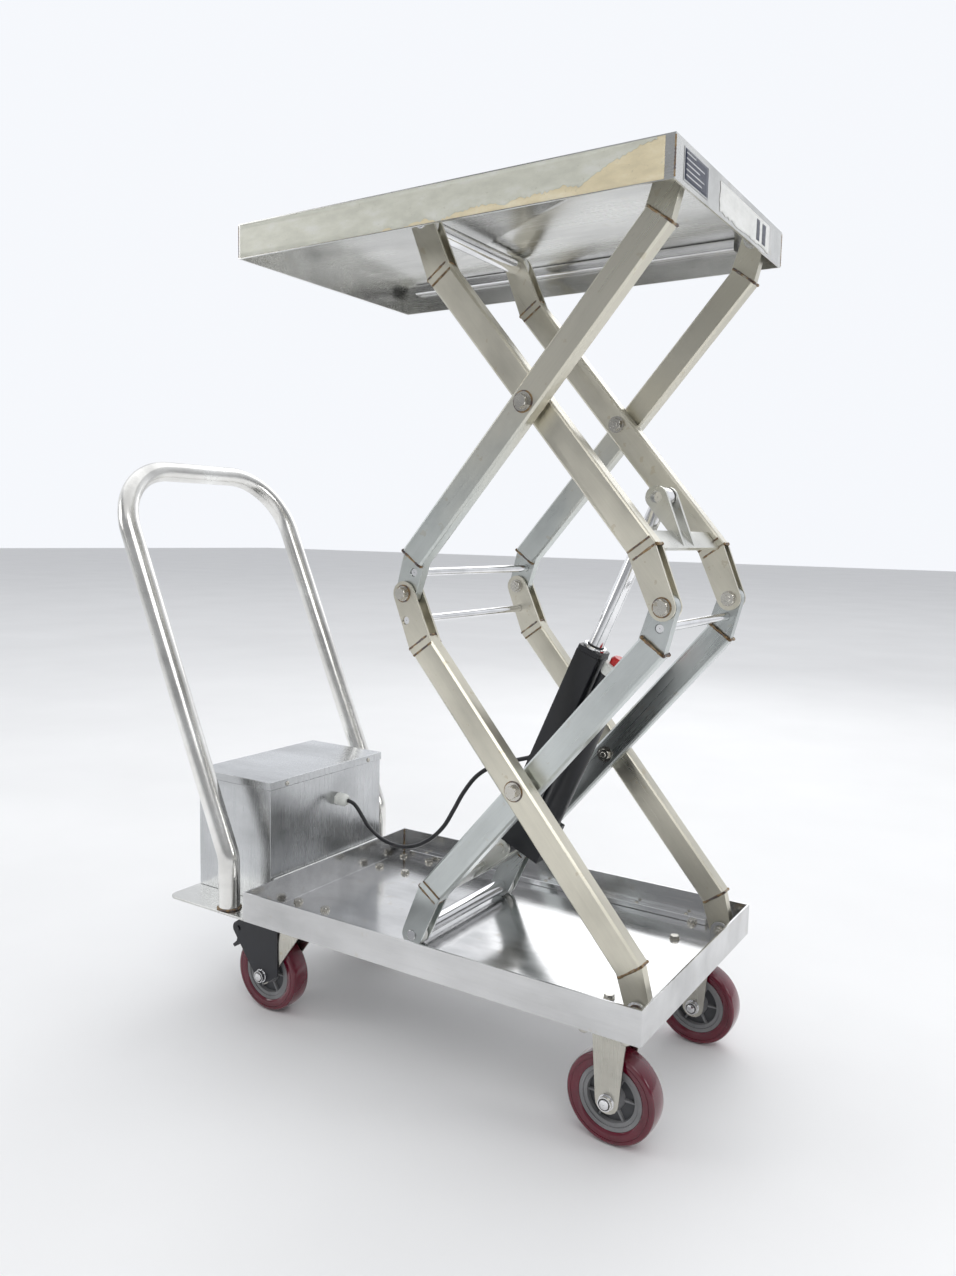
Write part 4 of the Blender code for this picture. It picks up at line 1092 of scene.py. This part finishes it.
# ---------------------------------------------------------------- base
@dataclass
class Base:
    """The tray, its deck, rails, handle and welds."""

    shop: Workshop
    handle_y: float = 0.197
    handle_radius: float = 0.018
    foot_x: float = PLAN.tray_x - 0.402
    knee_z: float = PLAN.tray_z + 0.0916
    top_x: float = PLAN.tray_x - 0.7045 + 0.018
    top_z: float = PLAN.tray_z + 0.739

    def build(self) -> None:
        """Dresses the tray, the deck and the rails, and makes the handle."""
        self.shop.refine("base_tray", "tray_floor", 0.0012)
        self.shop.refine("rear_deck_plate", "sheet", 0.0010)
        for side in Side:
            self.shop.refine(f"guide_rail_{side.word}", "bar", 0.0008)
        self._rail_screws()
        self._handle()
        self._welds()

    def _rail_screws(self) -> None:
        """Round screw heads along the guide rails."""
        low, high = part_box("guide_rail_right")
        dome = lathe([(CORE, 0), (0.0034, 0), (0.0030, 0.0011), (0.0016, 0.0019), (CORE, 0.0020)], 24)
        upward = Matrix.Rotation(math.pi / 2, 4, "X")
        meshes = []
        for side in Side:
            for share in np.linspace(0.06, 0.94, 7):
                place = (low[0] + share * (high[0] - low[0]), side.value * (low[1] + high[1]) / 2, high[2])
                meshes.append(placed(dome, Matrix.Translation(place) @ upward))
        self.shop.piece("guide_rail_screws", joined(meshes), "bolt", "base", "pin_steel")

    def _handle_line(self) -> Array:
        """The handle's centre line: foot, knee, sloping leg, top corner, and the same back."""
        side = self.handle_y
        foot = np.array([self.foot_x, -side, PLAN.tray_z + 0.0043])
        knee = np.array([self.foot_x, -side, self.knee_z])
        corner = np.array([self.top_x, -side, self.top_z])
        middle = np.array([self.top_x, 0, self.top_z])
        first = rounded_corner(foot, knee, corner, 0.060, 12)
        second = rounded_corner(knee, corner, middle, 0.120, 28)
        half = np.vstack([foot, first, second])
        return np.vstack([half, half[::-1] * (1, -1, 1)])

    def _handle(self) -> None:
        """The bent tube on its two feet."""
        mesh = sweep(self._handle_line(), self.handle_radius - 0.0001, (0.92, 0, 0.39), 40)
        self.shop.piece("handle_tube", mesh, "handle", "base", "handle_steel", ("push_handle",))

    def _welds(self) -> None:
        """Beads round the handle's feet and up the inside corners of the tray."""
        angle = np.linspace(0, TAU, 90, endpoint=False)
        meshes = []
        for side in Side:
            ring = np.stack([self.foot_x + 0.0188 * np.cos(angle),
                             side.value * self.handle_y + 0.0188 * np.sin(angle),
                             0 * angle + PLAN.tray_z + 0.0056], -1)
            ripple = 0.0018 + 0.0003 * np.sin(angle * 30)
            meshes.append(sweep(ring, ripple, (0, 0, 1), 10, True))
        low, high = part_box("base_tray")
        t = np.linspace(0, 1, 40)
        for x in (low[0] + 0.0034, high[0] - 0.0034):
            for y in (low[1] + 0.0034, high[1] - 0.0034):
                line = np.stack([x + 0 * t, y + 0 * t, low[2] + 0.004 + t * 0.043], -1)
                meshes.append(sweep(line, 0.0013 + 0.0003 * np.sin(t * 90), (1, 0, 0), 10))
        self.shop.piece("base_welds", joined(meshes), "weld", "base", "sheet_steel")


# ---------------------------------------------------------------- control box
@dataclass
class ControlBox:
    """The sheet-steel box with its lid, screws, battery, controller and cable gland."""

    shop: Workshop

    def build(self) -> None:
        """Dresses the box and makes its small pieces."""
        self.shop.refine("control_box", "box", 0.0010)
        self.shop.refine("box_lid", "box", 0.0011)
        self.shop.refine("battery", "battery", 0.003)
        self.shop.refine("motor_controller", "board", 0.001)
        self._screws()
        self._gland()
        self._battery_terminals()
        self._front_seam()

    def _front_seam(self) -> None:
        """The rippled seam that closes the slit between the box's front and the tray's rear wall."""
        box_low, box_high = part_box("control_box")
        tray_low, tray_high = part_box("base_tray")
        y = np.linspace(box_low[1] + 0.002, box_high[1] - 0.002, 260)
        ripple = (tray_low[0] - box_high[0]) / 2 - 0.0004 + 0.0003 * np.sin(y * 900)
        line = np.stack([0 * y + (tray_low[0] + box_high[0]) / 2, y, 0 * y + tray_high[2] - 0.0030], -1)
        self.shop.piece("box_front_seam", sweep(line, ripple, (1, 0, 0), 20), "sheet", "base", "sheet_steel")

    def _screws(self) -> None:
        """Round-headed screws through the lid's fold."""
        low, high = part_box("box_lid")
        dome = lathe([(CORE, 0), (0.0042, 0), (0.0040, 0.0010), (0.0026, 0.0024), (0.0010, 0.0024),
                      (0.0009, 0.0012), (CORE, 0.0012)], 32)
        meshes = []
        for x, way in ((high[0], 1), (low[0], -1)):
            for y in (-0.109, 0.109):
                turn = Matrix.Rotation(-way * math.pi / 2, 4, "Z")
                meshes.append(placed(dome, Matrix.Translation((x, y, high[2] - 0.0085)) @ turn))
        self.shop.piece("lid_screws", joined(meshes), "bolt", "base", "pin_steel")

    def _gland(self) -> None:
        """The gland: a flats-cut body nut, a knurled dome nut and its rubber lip."""
        low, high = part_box("cable_gland")
        y, z = (low[1] + high[1]) / 2, (low[2] + high[2]) / 2
        face = high[0] - 0.024
        turn = Matrix.Translation((face + 0.0003, y, z)) @ Matrix.Rotation(-math.pi / 2, 4, "Z")
        nut = placed(hexagon(0.0215, 0.006, 0.0040), turn)
        angle = np.linspace(0, TAU, 144, endpoint=False)[:, None]
        along = np.array([0.0062, 0.0066, 0.0160, 0.0185, 0.0222, 0.0236, 0.0236, 0.0062])[None, :]
        size = np.array([0.0100, 0.0112, 0.0112, 0.0104, 0.0078, 0.0068, 0.0039, 0.0039])[None, :]
        knurl = 1 + 0.022 * np.sin(angle * 24) * np.array([1, 1, 1, 0.6, 0, 0, 0, 0])[None, :]
        points = np.stack([size * knurl * np.cos(angle), along + 0 * angle, size * knurl * np.sin(angle)], -1)
        dome = placed(skin(points, True, True), turn)
        self.shop.piece("gland_body", joined([nut, dome]), "gland", "base", "gland_grey", ("cable_gland",))

    def _battery_terminals(self) -> None:
        """Two lead posts on the battery."""
        low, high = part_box("battery")
        post = lathe([(CORE, 0), (0.0060, 0), (0.0055, 0.012), (CORE, 0.012)], 32)
        upward = Matrix.Rotation(math.pi / 2, 4, "X")
        middle = (low[0] + high[0]) / 2
        meshes = [placed(post, Matrix.Translation((middle, y, high[2] + 0.0001)) @ upward)
                  for y in (low[1] + 0.03, high[1] - 0.03)]
        self.shop.piece("battery_posts", joined(meshes), "bolt", "base", "battery_black")


# ---------------------------------------------------------------- scissors
@dataclass(frozen=True)
class Arm:
    """One pair of arms: its place, the way that it lies and how it ends."""

    name: str
    finish: str
    back: int
    up: int
    falls: bool
    side_y: float
    ends: tuple[End, End]

    @property
    def turn(self) -> Matrix:
        """Turns the arm's own frame to the way that it lies."""
        return Matrix.Rotation(PLAN.angle if self.falls else -PLAN.angle, 4, "Y")

    @property
    def slew(self) -> float:
        """Slope of the tube against the pivot line."""
        return PLAN.slew if self.falls else -PLAN.slew


@dataclass
class Scissors:
    """The eight arms with their weld beads, tie rods, rollers and shafts."""

    shop: Workshop
    arms: tuple[Arm, ...] = (
        Arm("outer_lower_arm", "warm_falling", 1, 1, True, PLAN.outer_y, (End.FORK, End.TONGUE)),
        Arm("inner_lower_arm", "cool_rising", 1, 1, False, PLAN.inner_y, (End.FORK, End.TONGUE)),
        Arm("outer_upper_arm", "warm_rising", 1, 3, False, PLAN.outer_y, (End.TONGUE, End.TONGUE)),
        Arm("inner_upper_arm", "warm_falling", 1, 3, True, PLAN.inner_y, (End.FORK, End.FORK)),
    )

    def build(self) -> None:
        """Dresses the arms and makes their rods, rollers and welds."""
        for arm in self.arms:
            for side in Side:
                self.shop.refine(f"{arm.name}_{side.word}", arm.finish, 0.0006)
            self._welds(arm)
        for node in ("outer_lower_tie_rod", "outer_upper_tie_rod", "inner_lower_tie_rod"):
            self._rod(node, 0.0060)
        for level in ("lower", "upper"):
            self._shaft(level)
            self._rollers(level)
        self.shop.refine("actuator_lower_bracket", "bracket", 0.0006)
        self.shop.refine("actuator_upper_bracket", "bracket", 0.0006)

    def _welds(self, arm: Arm) -> None:
        """Beads round each tube end and across each fork plate's edge.

        Args:
            arm: the pair of arms.
        """
        centre = PLAN.station(arm.back, arm.up)
        meshes = []
        for sign, end in zip((-1, 1), arm.ends):
            meshes.append(self._loop(arm, sign * end.value))
            if end is End.FORK:
                meshes += self._edges(arm, sign * (end.value - 0.012))
        one = joined(meshes)
        for side in Side:
            move = at(centre.x, side.value * arm.side_y, centre.z, side) @ arm.turn
            self.shop.piece(f"{arm.name}_welds_{side.word}", placed(one, move), "weld", f"{arm.name}s",
                            "arm_steel")

    def _loop(self, arm: Arm, along: float) -> bpy.types.Mesh:
        """A bead round the tube: a rounded rectangle as a superellipse, in the arm's frame.

        Args:
            arm: the arm.
            along: its place along the arm.

        Returns:
            The mesh.
        """
        angle = np.linspace(0, TAU, 120, endpoint=False)
        half_y, half_z = PLAN.tube_width / 2 - 0.0004, PLAN.tube_height / 2 - 0.0004
        y = half_y * np.sign(np.cos(angle)) * np.abs(np.cos(angle)) ** 0.22
        z = half_z * np.sign(np.sin(angle)) * np.abs(np.sin(angle)) ** 0.22
        line = np.stack([along + 0 * angle, y, along * arm.slew + z], -1)
        return sweep(line, 0.0019 + 0.0005 * np.sin(angle * 37), (1, 0, 0), 8, True)

    def _edges(self, arm: Arm, along: float) -> list[bpy.types.Mesh]:
        """Two beads across the tube's sides where the fork's plates start.

        Args:
            arm: the arm.
            along: their place along the arm.

        Returns:
            The meshes.
        """
        t = np.linspace(-1, 1, 50)
        made = []
        for face in (-1, 1):
            line = np.stack([along - 0.0003 * t * arm.slew, face * (PLAN.tube_width / 2 + 0.0001) + 0 * t,
                             along * arm.slew + t * 0.0185], -1)
            made.append(sweep(line, 0.0015 + 0.0004 * np.sin(t * 60), (1, 0, 0), 8))
        return made

    def _rod(self, node: str, radius: float) -> None:
        """A smooth tie rod in place of the faceted one.

        Args:
            node: the rod's node.
            radius: its radius.
        """
        low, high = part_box(node)
        x, z = (low[0] + high[0]) / 2, (low[2] + high[2]) / 2
        rod = lathe([(CORE, low[1]), (radius - 0.0006, low[1]), (radius, low[1] + 0.0006),
                     (radius, high[1] - 0.0006), (radius - 0.0006, high[1]), (CORE, high[1])], 40)
        self.shop.piece(f"{node}_bar", placed(rod, at(x, 0, z)), "bar", self.shop.bodies[node],
                        "bright_steel", (node,))

    def _shaft(self, level: str) -> None:
        """A roller shaft, stepped down to its pins, with a snap-ring groove at each end.

        Args:
            level: lower or upper.
        """
        node = f"{level}_roller_shaft"
        low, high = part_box(node)
        x, z, end = (low[0] + high[0]) / 2, (low[2] + high[2]) / 2, high[1]
        step = PLAN.inner_y - PLAN.tube_width / 2 - 0.0008
        half = [(0.0120, step - 0.0008), (0.0112, step), (0.0080, step), (0.0080, end - 0.0028),
                (0.0072, end - 0.0026), (0.0072, end - 0.0018), (0.0080, end - 0.0016),
                (0.0080, end - 0.0005), (0.0074, end), (CORE, end)]
        shaft = lathe(mirrored(half) + half, 48)
        self.shop.piece(f"{node}_bar", placed(shaft, at(x, 0, z)), "bar", self.shop.bodies[node],
                        "bright_steel", (node,))

    def _rollers(self, level: str) -> None:
        """Two nylon rollers with rounded rims and a raised boss.

        Args:
            level: lower or upper.
        """
        for side in Side:
            node = f"{level}_roller_{side.word}"
            low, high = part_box(node)
            x, y, z = ((low[axis] + high[axis]) / 2 for axis in range(3))
            half = [(0.0180, 0.0), (0.0180, 0.0044), (0.0174, 0.0058), (0.0162, 0.0064), (0.0120, 0.0064),
                    (0.0112, 0.0058), (0.0104, 0.0064), (0.0083, 0.0064)]
            mesh = placed(lathe(half + mirrored(half[1:]), 64), at(x, y, z))
            self.shop.piece(f"{node}_tyre", mesh, "nylon", f"{level}_rollers", "roller_white", (node,))


# ---------------------------------------------------------------- platform
@dataclass
class Platform:
    """The platform with its protective films, its label and its corner welds."""

    shop: Workshop

    def build(self) -> None:
        """Dresses the platform and adds what is stuck to its skirts."""
        self.shop.refine("platform_top", "sheet", 0.0012)
        self._side_film()
        self._end_film()
        self._label()
        self._welds()
        self._guides()

    def _guides(self) -> None:
        """Round-cornered strips under the platform, beside its long skirts."""
        low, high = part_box("platform_top")
        angle = np.linspace(0, TAU, 40, endpoint=False)
        across = 0.0068 * np.sign(np.cos(angle)) * np.abs(np.cos(angle)) ** 0.35
        upright = 0.0085 * np.sign(np.sin(angle)) * np.abs(np.sin(angle)) ** 0.35
        x = np.linspace(low[0] + 0.030, high[0] - 0.068, 60)[:, None]
        for side in Side:
            y = side.value * (high[1] - 0.0105) + across[None, :]
            z = high[2] - 0.0118 + upright[None, :]
            points = np.stack([x + 0 * y, y + 0 * x, z + 0 * x], -1)
            self.shop.piece(f"platform_guide_{side.word}", skin(points, False, True, True), "bar", "platform",
                            "bright_steel")

    def _sheet(self, name: str, points: Array, finish: str) -> None:
        """A thin sheet over a grid of points.

        Args:
            name: the piece's name.
            points: array of shape (rows, columns, 3).
            finish: a key of FINISHES.
        """
        mesh = skin(points, False, False)
        made = self.shop.piece(name, mesh, finish, "platform", "sheet_steel")
        wall = made.modifiers.new("wall", "SOLIDIFY")
        wall.thickness = 0.0002
        wall.offset = 0.0

    @staticmethod
    def _ragged(t: Array, seed: int) -> Array:
        """An uneven edge between 0 and 1: a slow wave, torn steps and fine teeth.

        Args:
            t: places along the edge, from 0 to 1.
            seed: picks the pattern.

        Returns:
            The edge's height at each place.
        """
        draw = np.random.default_rng(seed)
        steps = np.interp(t, np.linspace(0, 1, 34), draw.random(34))
        teeth = np.interp(t, np.linspace(0, 1, 190), draw.random(190))
        return 0.25 * (0.5 + 0.5 * np.sin(t * 9 + 1)) + 0.5 * steps + 0.25 * teeth

    def _side_film(self) -> None:
        """Cream backing on the long skirts, under a pale film torn away towards the front."""
        low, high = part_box("platform_top")
        bottom = low[2] + 0.0012
        t = np.linspace(0, 1, 420)[:, None]
        v = np.linspace(0, 1, 7)[None, :]
        tall = high[2] - low[2] - 0.0030
        for index, side in enumerate(Side):
            x = low[0] + 0.004 + t * (high[0] - low[0] - 0.017)
            z = bottom + v * tall
            y = side.value * (high[1] + 0.00025) + 0 * x * z
            self._sheet(f"skirt_film_{side.word}", np.stack([x + 0 * y, y, z + 0 * y], -1), "cream")
            rise = np.clip((t - 0.42) / 0.44, 0, 1) * 0.20 + np.clip((t - 0.86) / 0.14, 0, 1) ** 0.7 * 0.74
            torn = (self._ragged(t, 4 + index) - 0.5) * 0.34 * (t > 0.40)
            edge = bottom + tall * np.clip(rise + torn, 0, 0.97)
            x = x - 0.010 * t
            z = edge + v * (bottom + tall - edge)
            y = side.value * (high[1] + 0.0006) + 0 * z
            self._sheet(f"torn_film_{side.word}", np.stack([x + 0 * z, y, z], -1), "pale")

    def _end_film(self) -> None:
        """White film on the front skirt, past the label."""
        low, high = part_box("platform_top")
        t = np.linspace(0, 1, 160)[:, None]
        v = np.linspace(0, 1, 12)[None, :]
        start = -0.066 + 0.006 * self._ragged(v, 9)
        y = start + t * (0.150 - start)
        edge = low[2] + 0.002 + 0.006 * self._ragged(t, 7)
        z = edge + v * (low[2] + 0.043 - edge)
        x = high[0] + 0.0004 + 0 * y + 0 * z
        self._sheet("front_film", np.stack([x, y + 0 * z, z + 0 * y], -1), "white")
        for across in ((0.090, 0.104), (0.116, 0.132)):
            self._block("film_bar", 0.0006, across, (0.010, 0.038), "label")

    def _block(self, name: str, proud: float, across: tuple[float, float], upright: tuple[float, float],
               finish: str) -> None:
        """A flat rectangle on the front skirt.

        Args:
            name: the piece's name.
            proud: how far it stands off the skirt.
            across: where it starts and ends along Y.
            upright: where it starts and ends above the skirt's lower edge.
            finish: a key of FINISHES.
        """
        low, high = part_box("platform_top")
        y, z = np.meshgrid(np.linspace(*across, 12), np.linspace(*upright, 12), indexing="ij")
        self._sheet(name, np.stack([high[0] + proud + 0 * y, y, low[2] + z], -1), finish)

    def _label(self) -> None:
        """A dark rating plate with a pale frame and plain bars, and no lettering."""
        self._block("plate_frame", 0.0004, (-0.1885, -0.1065), (0.0060, 0.0445), "label_pale")
        self._block("plate_field", 0.0007, (-0.1865, -0.1085), (0.0078, 0.0427), "label")
        start, spacing, thick = -0.1825, 0.0062, 0.0014
        for index, reach in enumerate((0.052, 0.060, 0.044, 0.060, 0.030)):
            foot = 0.0130 + spacing * index
            self._block(f"plate_bar_{index}", 0.0010, (start, start + reach), (foot, foot + thick),
                        "label_pale")

    def _welds(self) -> None:
        """Ground beads up the platform's four corners."""
        low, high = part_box("platform_top")
        t = np.linspace(0, 1, 40)
        meshes = []
        for x in (low[0] + 0.0006, high[0] - 0.0006):
            for y in (low[1] + 0.0006, high[1] - 0.0006):
                line = np.stack([x + 0 * t, y + 0 * t, low[2] + 0.002 + t * (high[2] - low[2] - 0.005)], -1)
                meshes.append(sweep(line, 0.0011 + 0.0002 * np.sin(t * 70), (1, 0, 0), 10))
        self.shop.piece("platform_welds", joined(meshes), "weld", "platform", "sheet_steel")


# ---------------------------------------------------------------- actuator
@dataclass
class Actuator:
    """The electric actuator between the two inner arm pairs."""

    shop: Workshop
    tail: tuple[float, float] = (-0.1801, 0.0058)
    head: tuple[float, float] = (0.1719, 0.0338)
    body_end: float = 0.350
    rod_radius: float = 0.012

    def build(self) -> None:
        """Dresses the housing and makes the rod, its seal, cap and plug."""
        self.shop.refine("actuator_gear_motor", "actuator", 0.0016)
        self.shop.refine("actuator_tube", "actuator", 0.0010)
        self._rod()
        self._cap()
        self._motor_end()

    @property
    def tail_pin(self) -> Vector:
        """The lower pin on the inner lower arms."""
        turn = Matrix.Rotation(-PLAN.angle, 3, "Y")
        return PLAN.station(1, 1) + turn @ Vector((self.tail[0], 0, self.tail[1]))

    @property
    def head_pin(self) -> Vector:
        """The upper pin on the inner upper arms."""
        turn = Matrix.Rotation(PLAN.angle, 3, "Y")
        return PLAN.station(1, 3) + turn @ Vector((self.head[0], 0, self.head[1]))

    @property
    def frame(self) -> Matrix:
        """The actuator's own frame: +X from the tail pin to the head pin."""
        way = self.head_pin - self.tail_pin
        return Matrix.Translation(self.tail_pin) @ Matrix.Rotation(-math.atan2(way.z, way.x), 4, "Y")

    def _along(self, mesh: bpy.types.Mesh) -> bpy.types.Mesh:
        """A shape turned about Y laid along the actuator, its +Y to the head pin."""
        return placed(mesh, self.frame @ Matrix.Rotation(-math.pi / 2, 4, "Z"))

    def _rod(self) -> None:
        """The chromed rod and its eye with the upper pin."""
        length = (self.head_pin - self.tail_pin).length
        radius = self.rod_radius
        rod = lathe([(CORE, 0.286), (radius, 0.286), (radius, length - 0.013),
                     (radius - 0.0008, length - 0.011), (CORE, length - 0.011)], 56)
        half_eye = [(0.0144, 0.0116), (0.0136, 0.0124), (CORE, 0.0124)]
        eye = lathe(mirrored(half_eye) + half_eye, 56)
        pin = lathe([(CORE, -0.0154), (0.0080, -0.0154), (0.0080, 0.0154), (CORE, 0.0154)], 40)
        place = self.frame @ Matrix.Translation((length, 0, 0))
        mesh = joined([self._along(rod), placed(eye, place), placed(pin, place)])
        self.shop.piece("piston_rod", mesh, "bar", "actuator_rod", "bright_steel", ("actuator_piston_rod",))

    def _cap(self) -> None:
        """The black end cap, square with round corners, a silver guide nut, and the rod's wiper seal."""
        angle = np.linspace(0, TAU, 120, endpoint=False)[:, None]
        along = np.array([0.0004, 0.0004, 0.0072, 0.0080, 0.0080, 0.0004])[None, :]
        half = np.array([0.0130, 0.0200, 0.0200, 0.0192, 0.0130, 0.0130])[None, :]
        square = (np.abs(np.cos(angle)) ** 7 + np.abs(np.sin(angle)) ** 7) ** (-1 / 7)
        radius = np.where(half > 0.0131, half * square, half)
        points = np.stack([radius * np.cos(angle), along + self.body_end + 0 * angle,
                           radius * np.sin(angle)], -1)
        self.shop.piece("actuator_cap", self._along(skin(points, True, True)), "actuator", "actuator_body",
                        "actuator_black")
        end = self.body_end + 0.0083
        nut = lathe([(0.0130, end), (0.0178, end), (0.0178, end + 0.0030), (0.0168, end + 0.0042),
                     (0.0130, end + 0.0042)], 64)
        self.shop.piece("rod_guide", self._along(nut), "bar", "actuator_body", "actuator_black")
        seal = lathe([(0.0121, end + 0.0020), (0.0129, end + 0.0020), (0.0129, end + 0.0052),
                      (0.0123, end + 0.0062)], 48)
        self.shop.piece("rod_seal", self._along(seal), "seal", "actuator_body", "actuator_black")

    def _motor_end(self) -> None:
        """The grey plug housing with its red connector on the motor's end."""
        motor_line = Matrix.Translation((0, 0, -0.044))
        ring = lathe([(CORE, 0.3352), (0.0200, 0.3352), (0.0200, 0.3490), (0.0180, 0.3520),
                      (CORE, 0.3520)], 48)
        plug = lathe([(CORE, 0.3522), (0.0130, 0.3522), (0.0130, 0.3600), (0.0095, 0.3640),
                      (CORE, 0.3640)], 32)
        turn = self.frame @ motor_line @ Matrix.Rotation(-math.pi / 2, 4, "Z")
        self.shop.piece("motor_plug", placed(plug, turn), "plug", "actuator_body", "actuator_black")
        self.shop.piece("motor_cap", placed(ring, turn), "gland", "actuator_body", "actuator_black")


def main() -> None:
    """Builds the whole table round the frame."""
    logging.basicConfig(level=logging.INFO, format="%(name)s: %(message)s")
    for leftover in list(bpy.data.objects):
        bpy.data.objects.remove(leftover)
    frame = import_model()
    shop = Workshop(frame)
    Studio().build()
    Cable(shop).build()
    Base(shop).build()
    ControlBox(shop).build()
    Casters(shop).build()
    Scissors(shop).build()
    Platform(shop).build()
    Actuator(shop).build()
    fasteners = Fasteners(shop)
    fasteners.pivots()
    fasteners.casters()


if __name__ == "__main__":
    main()
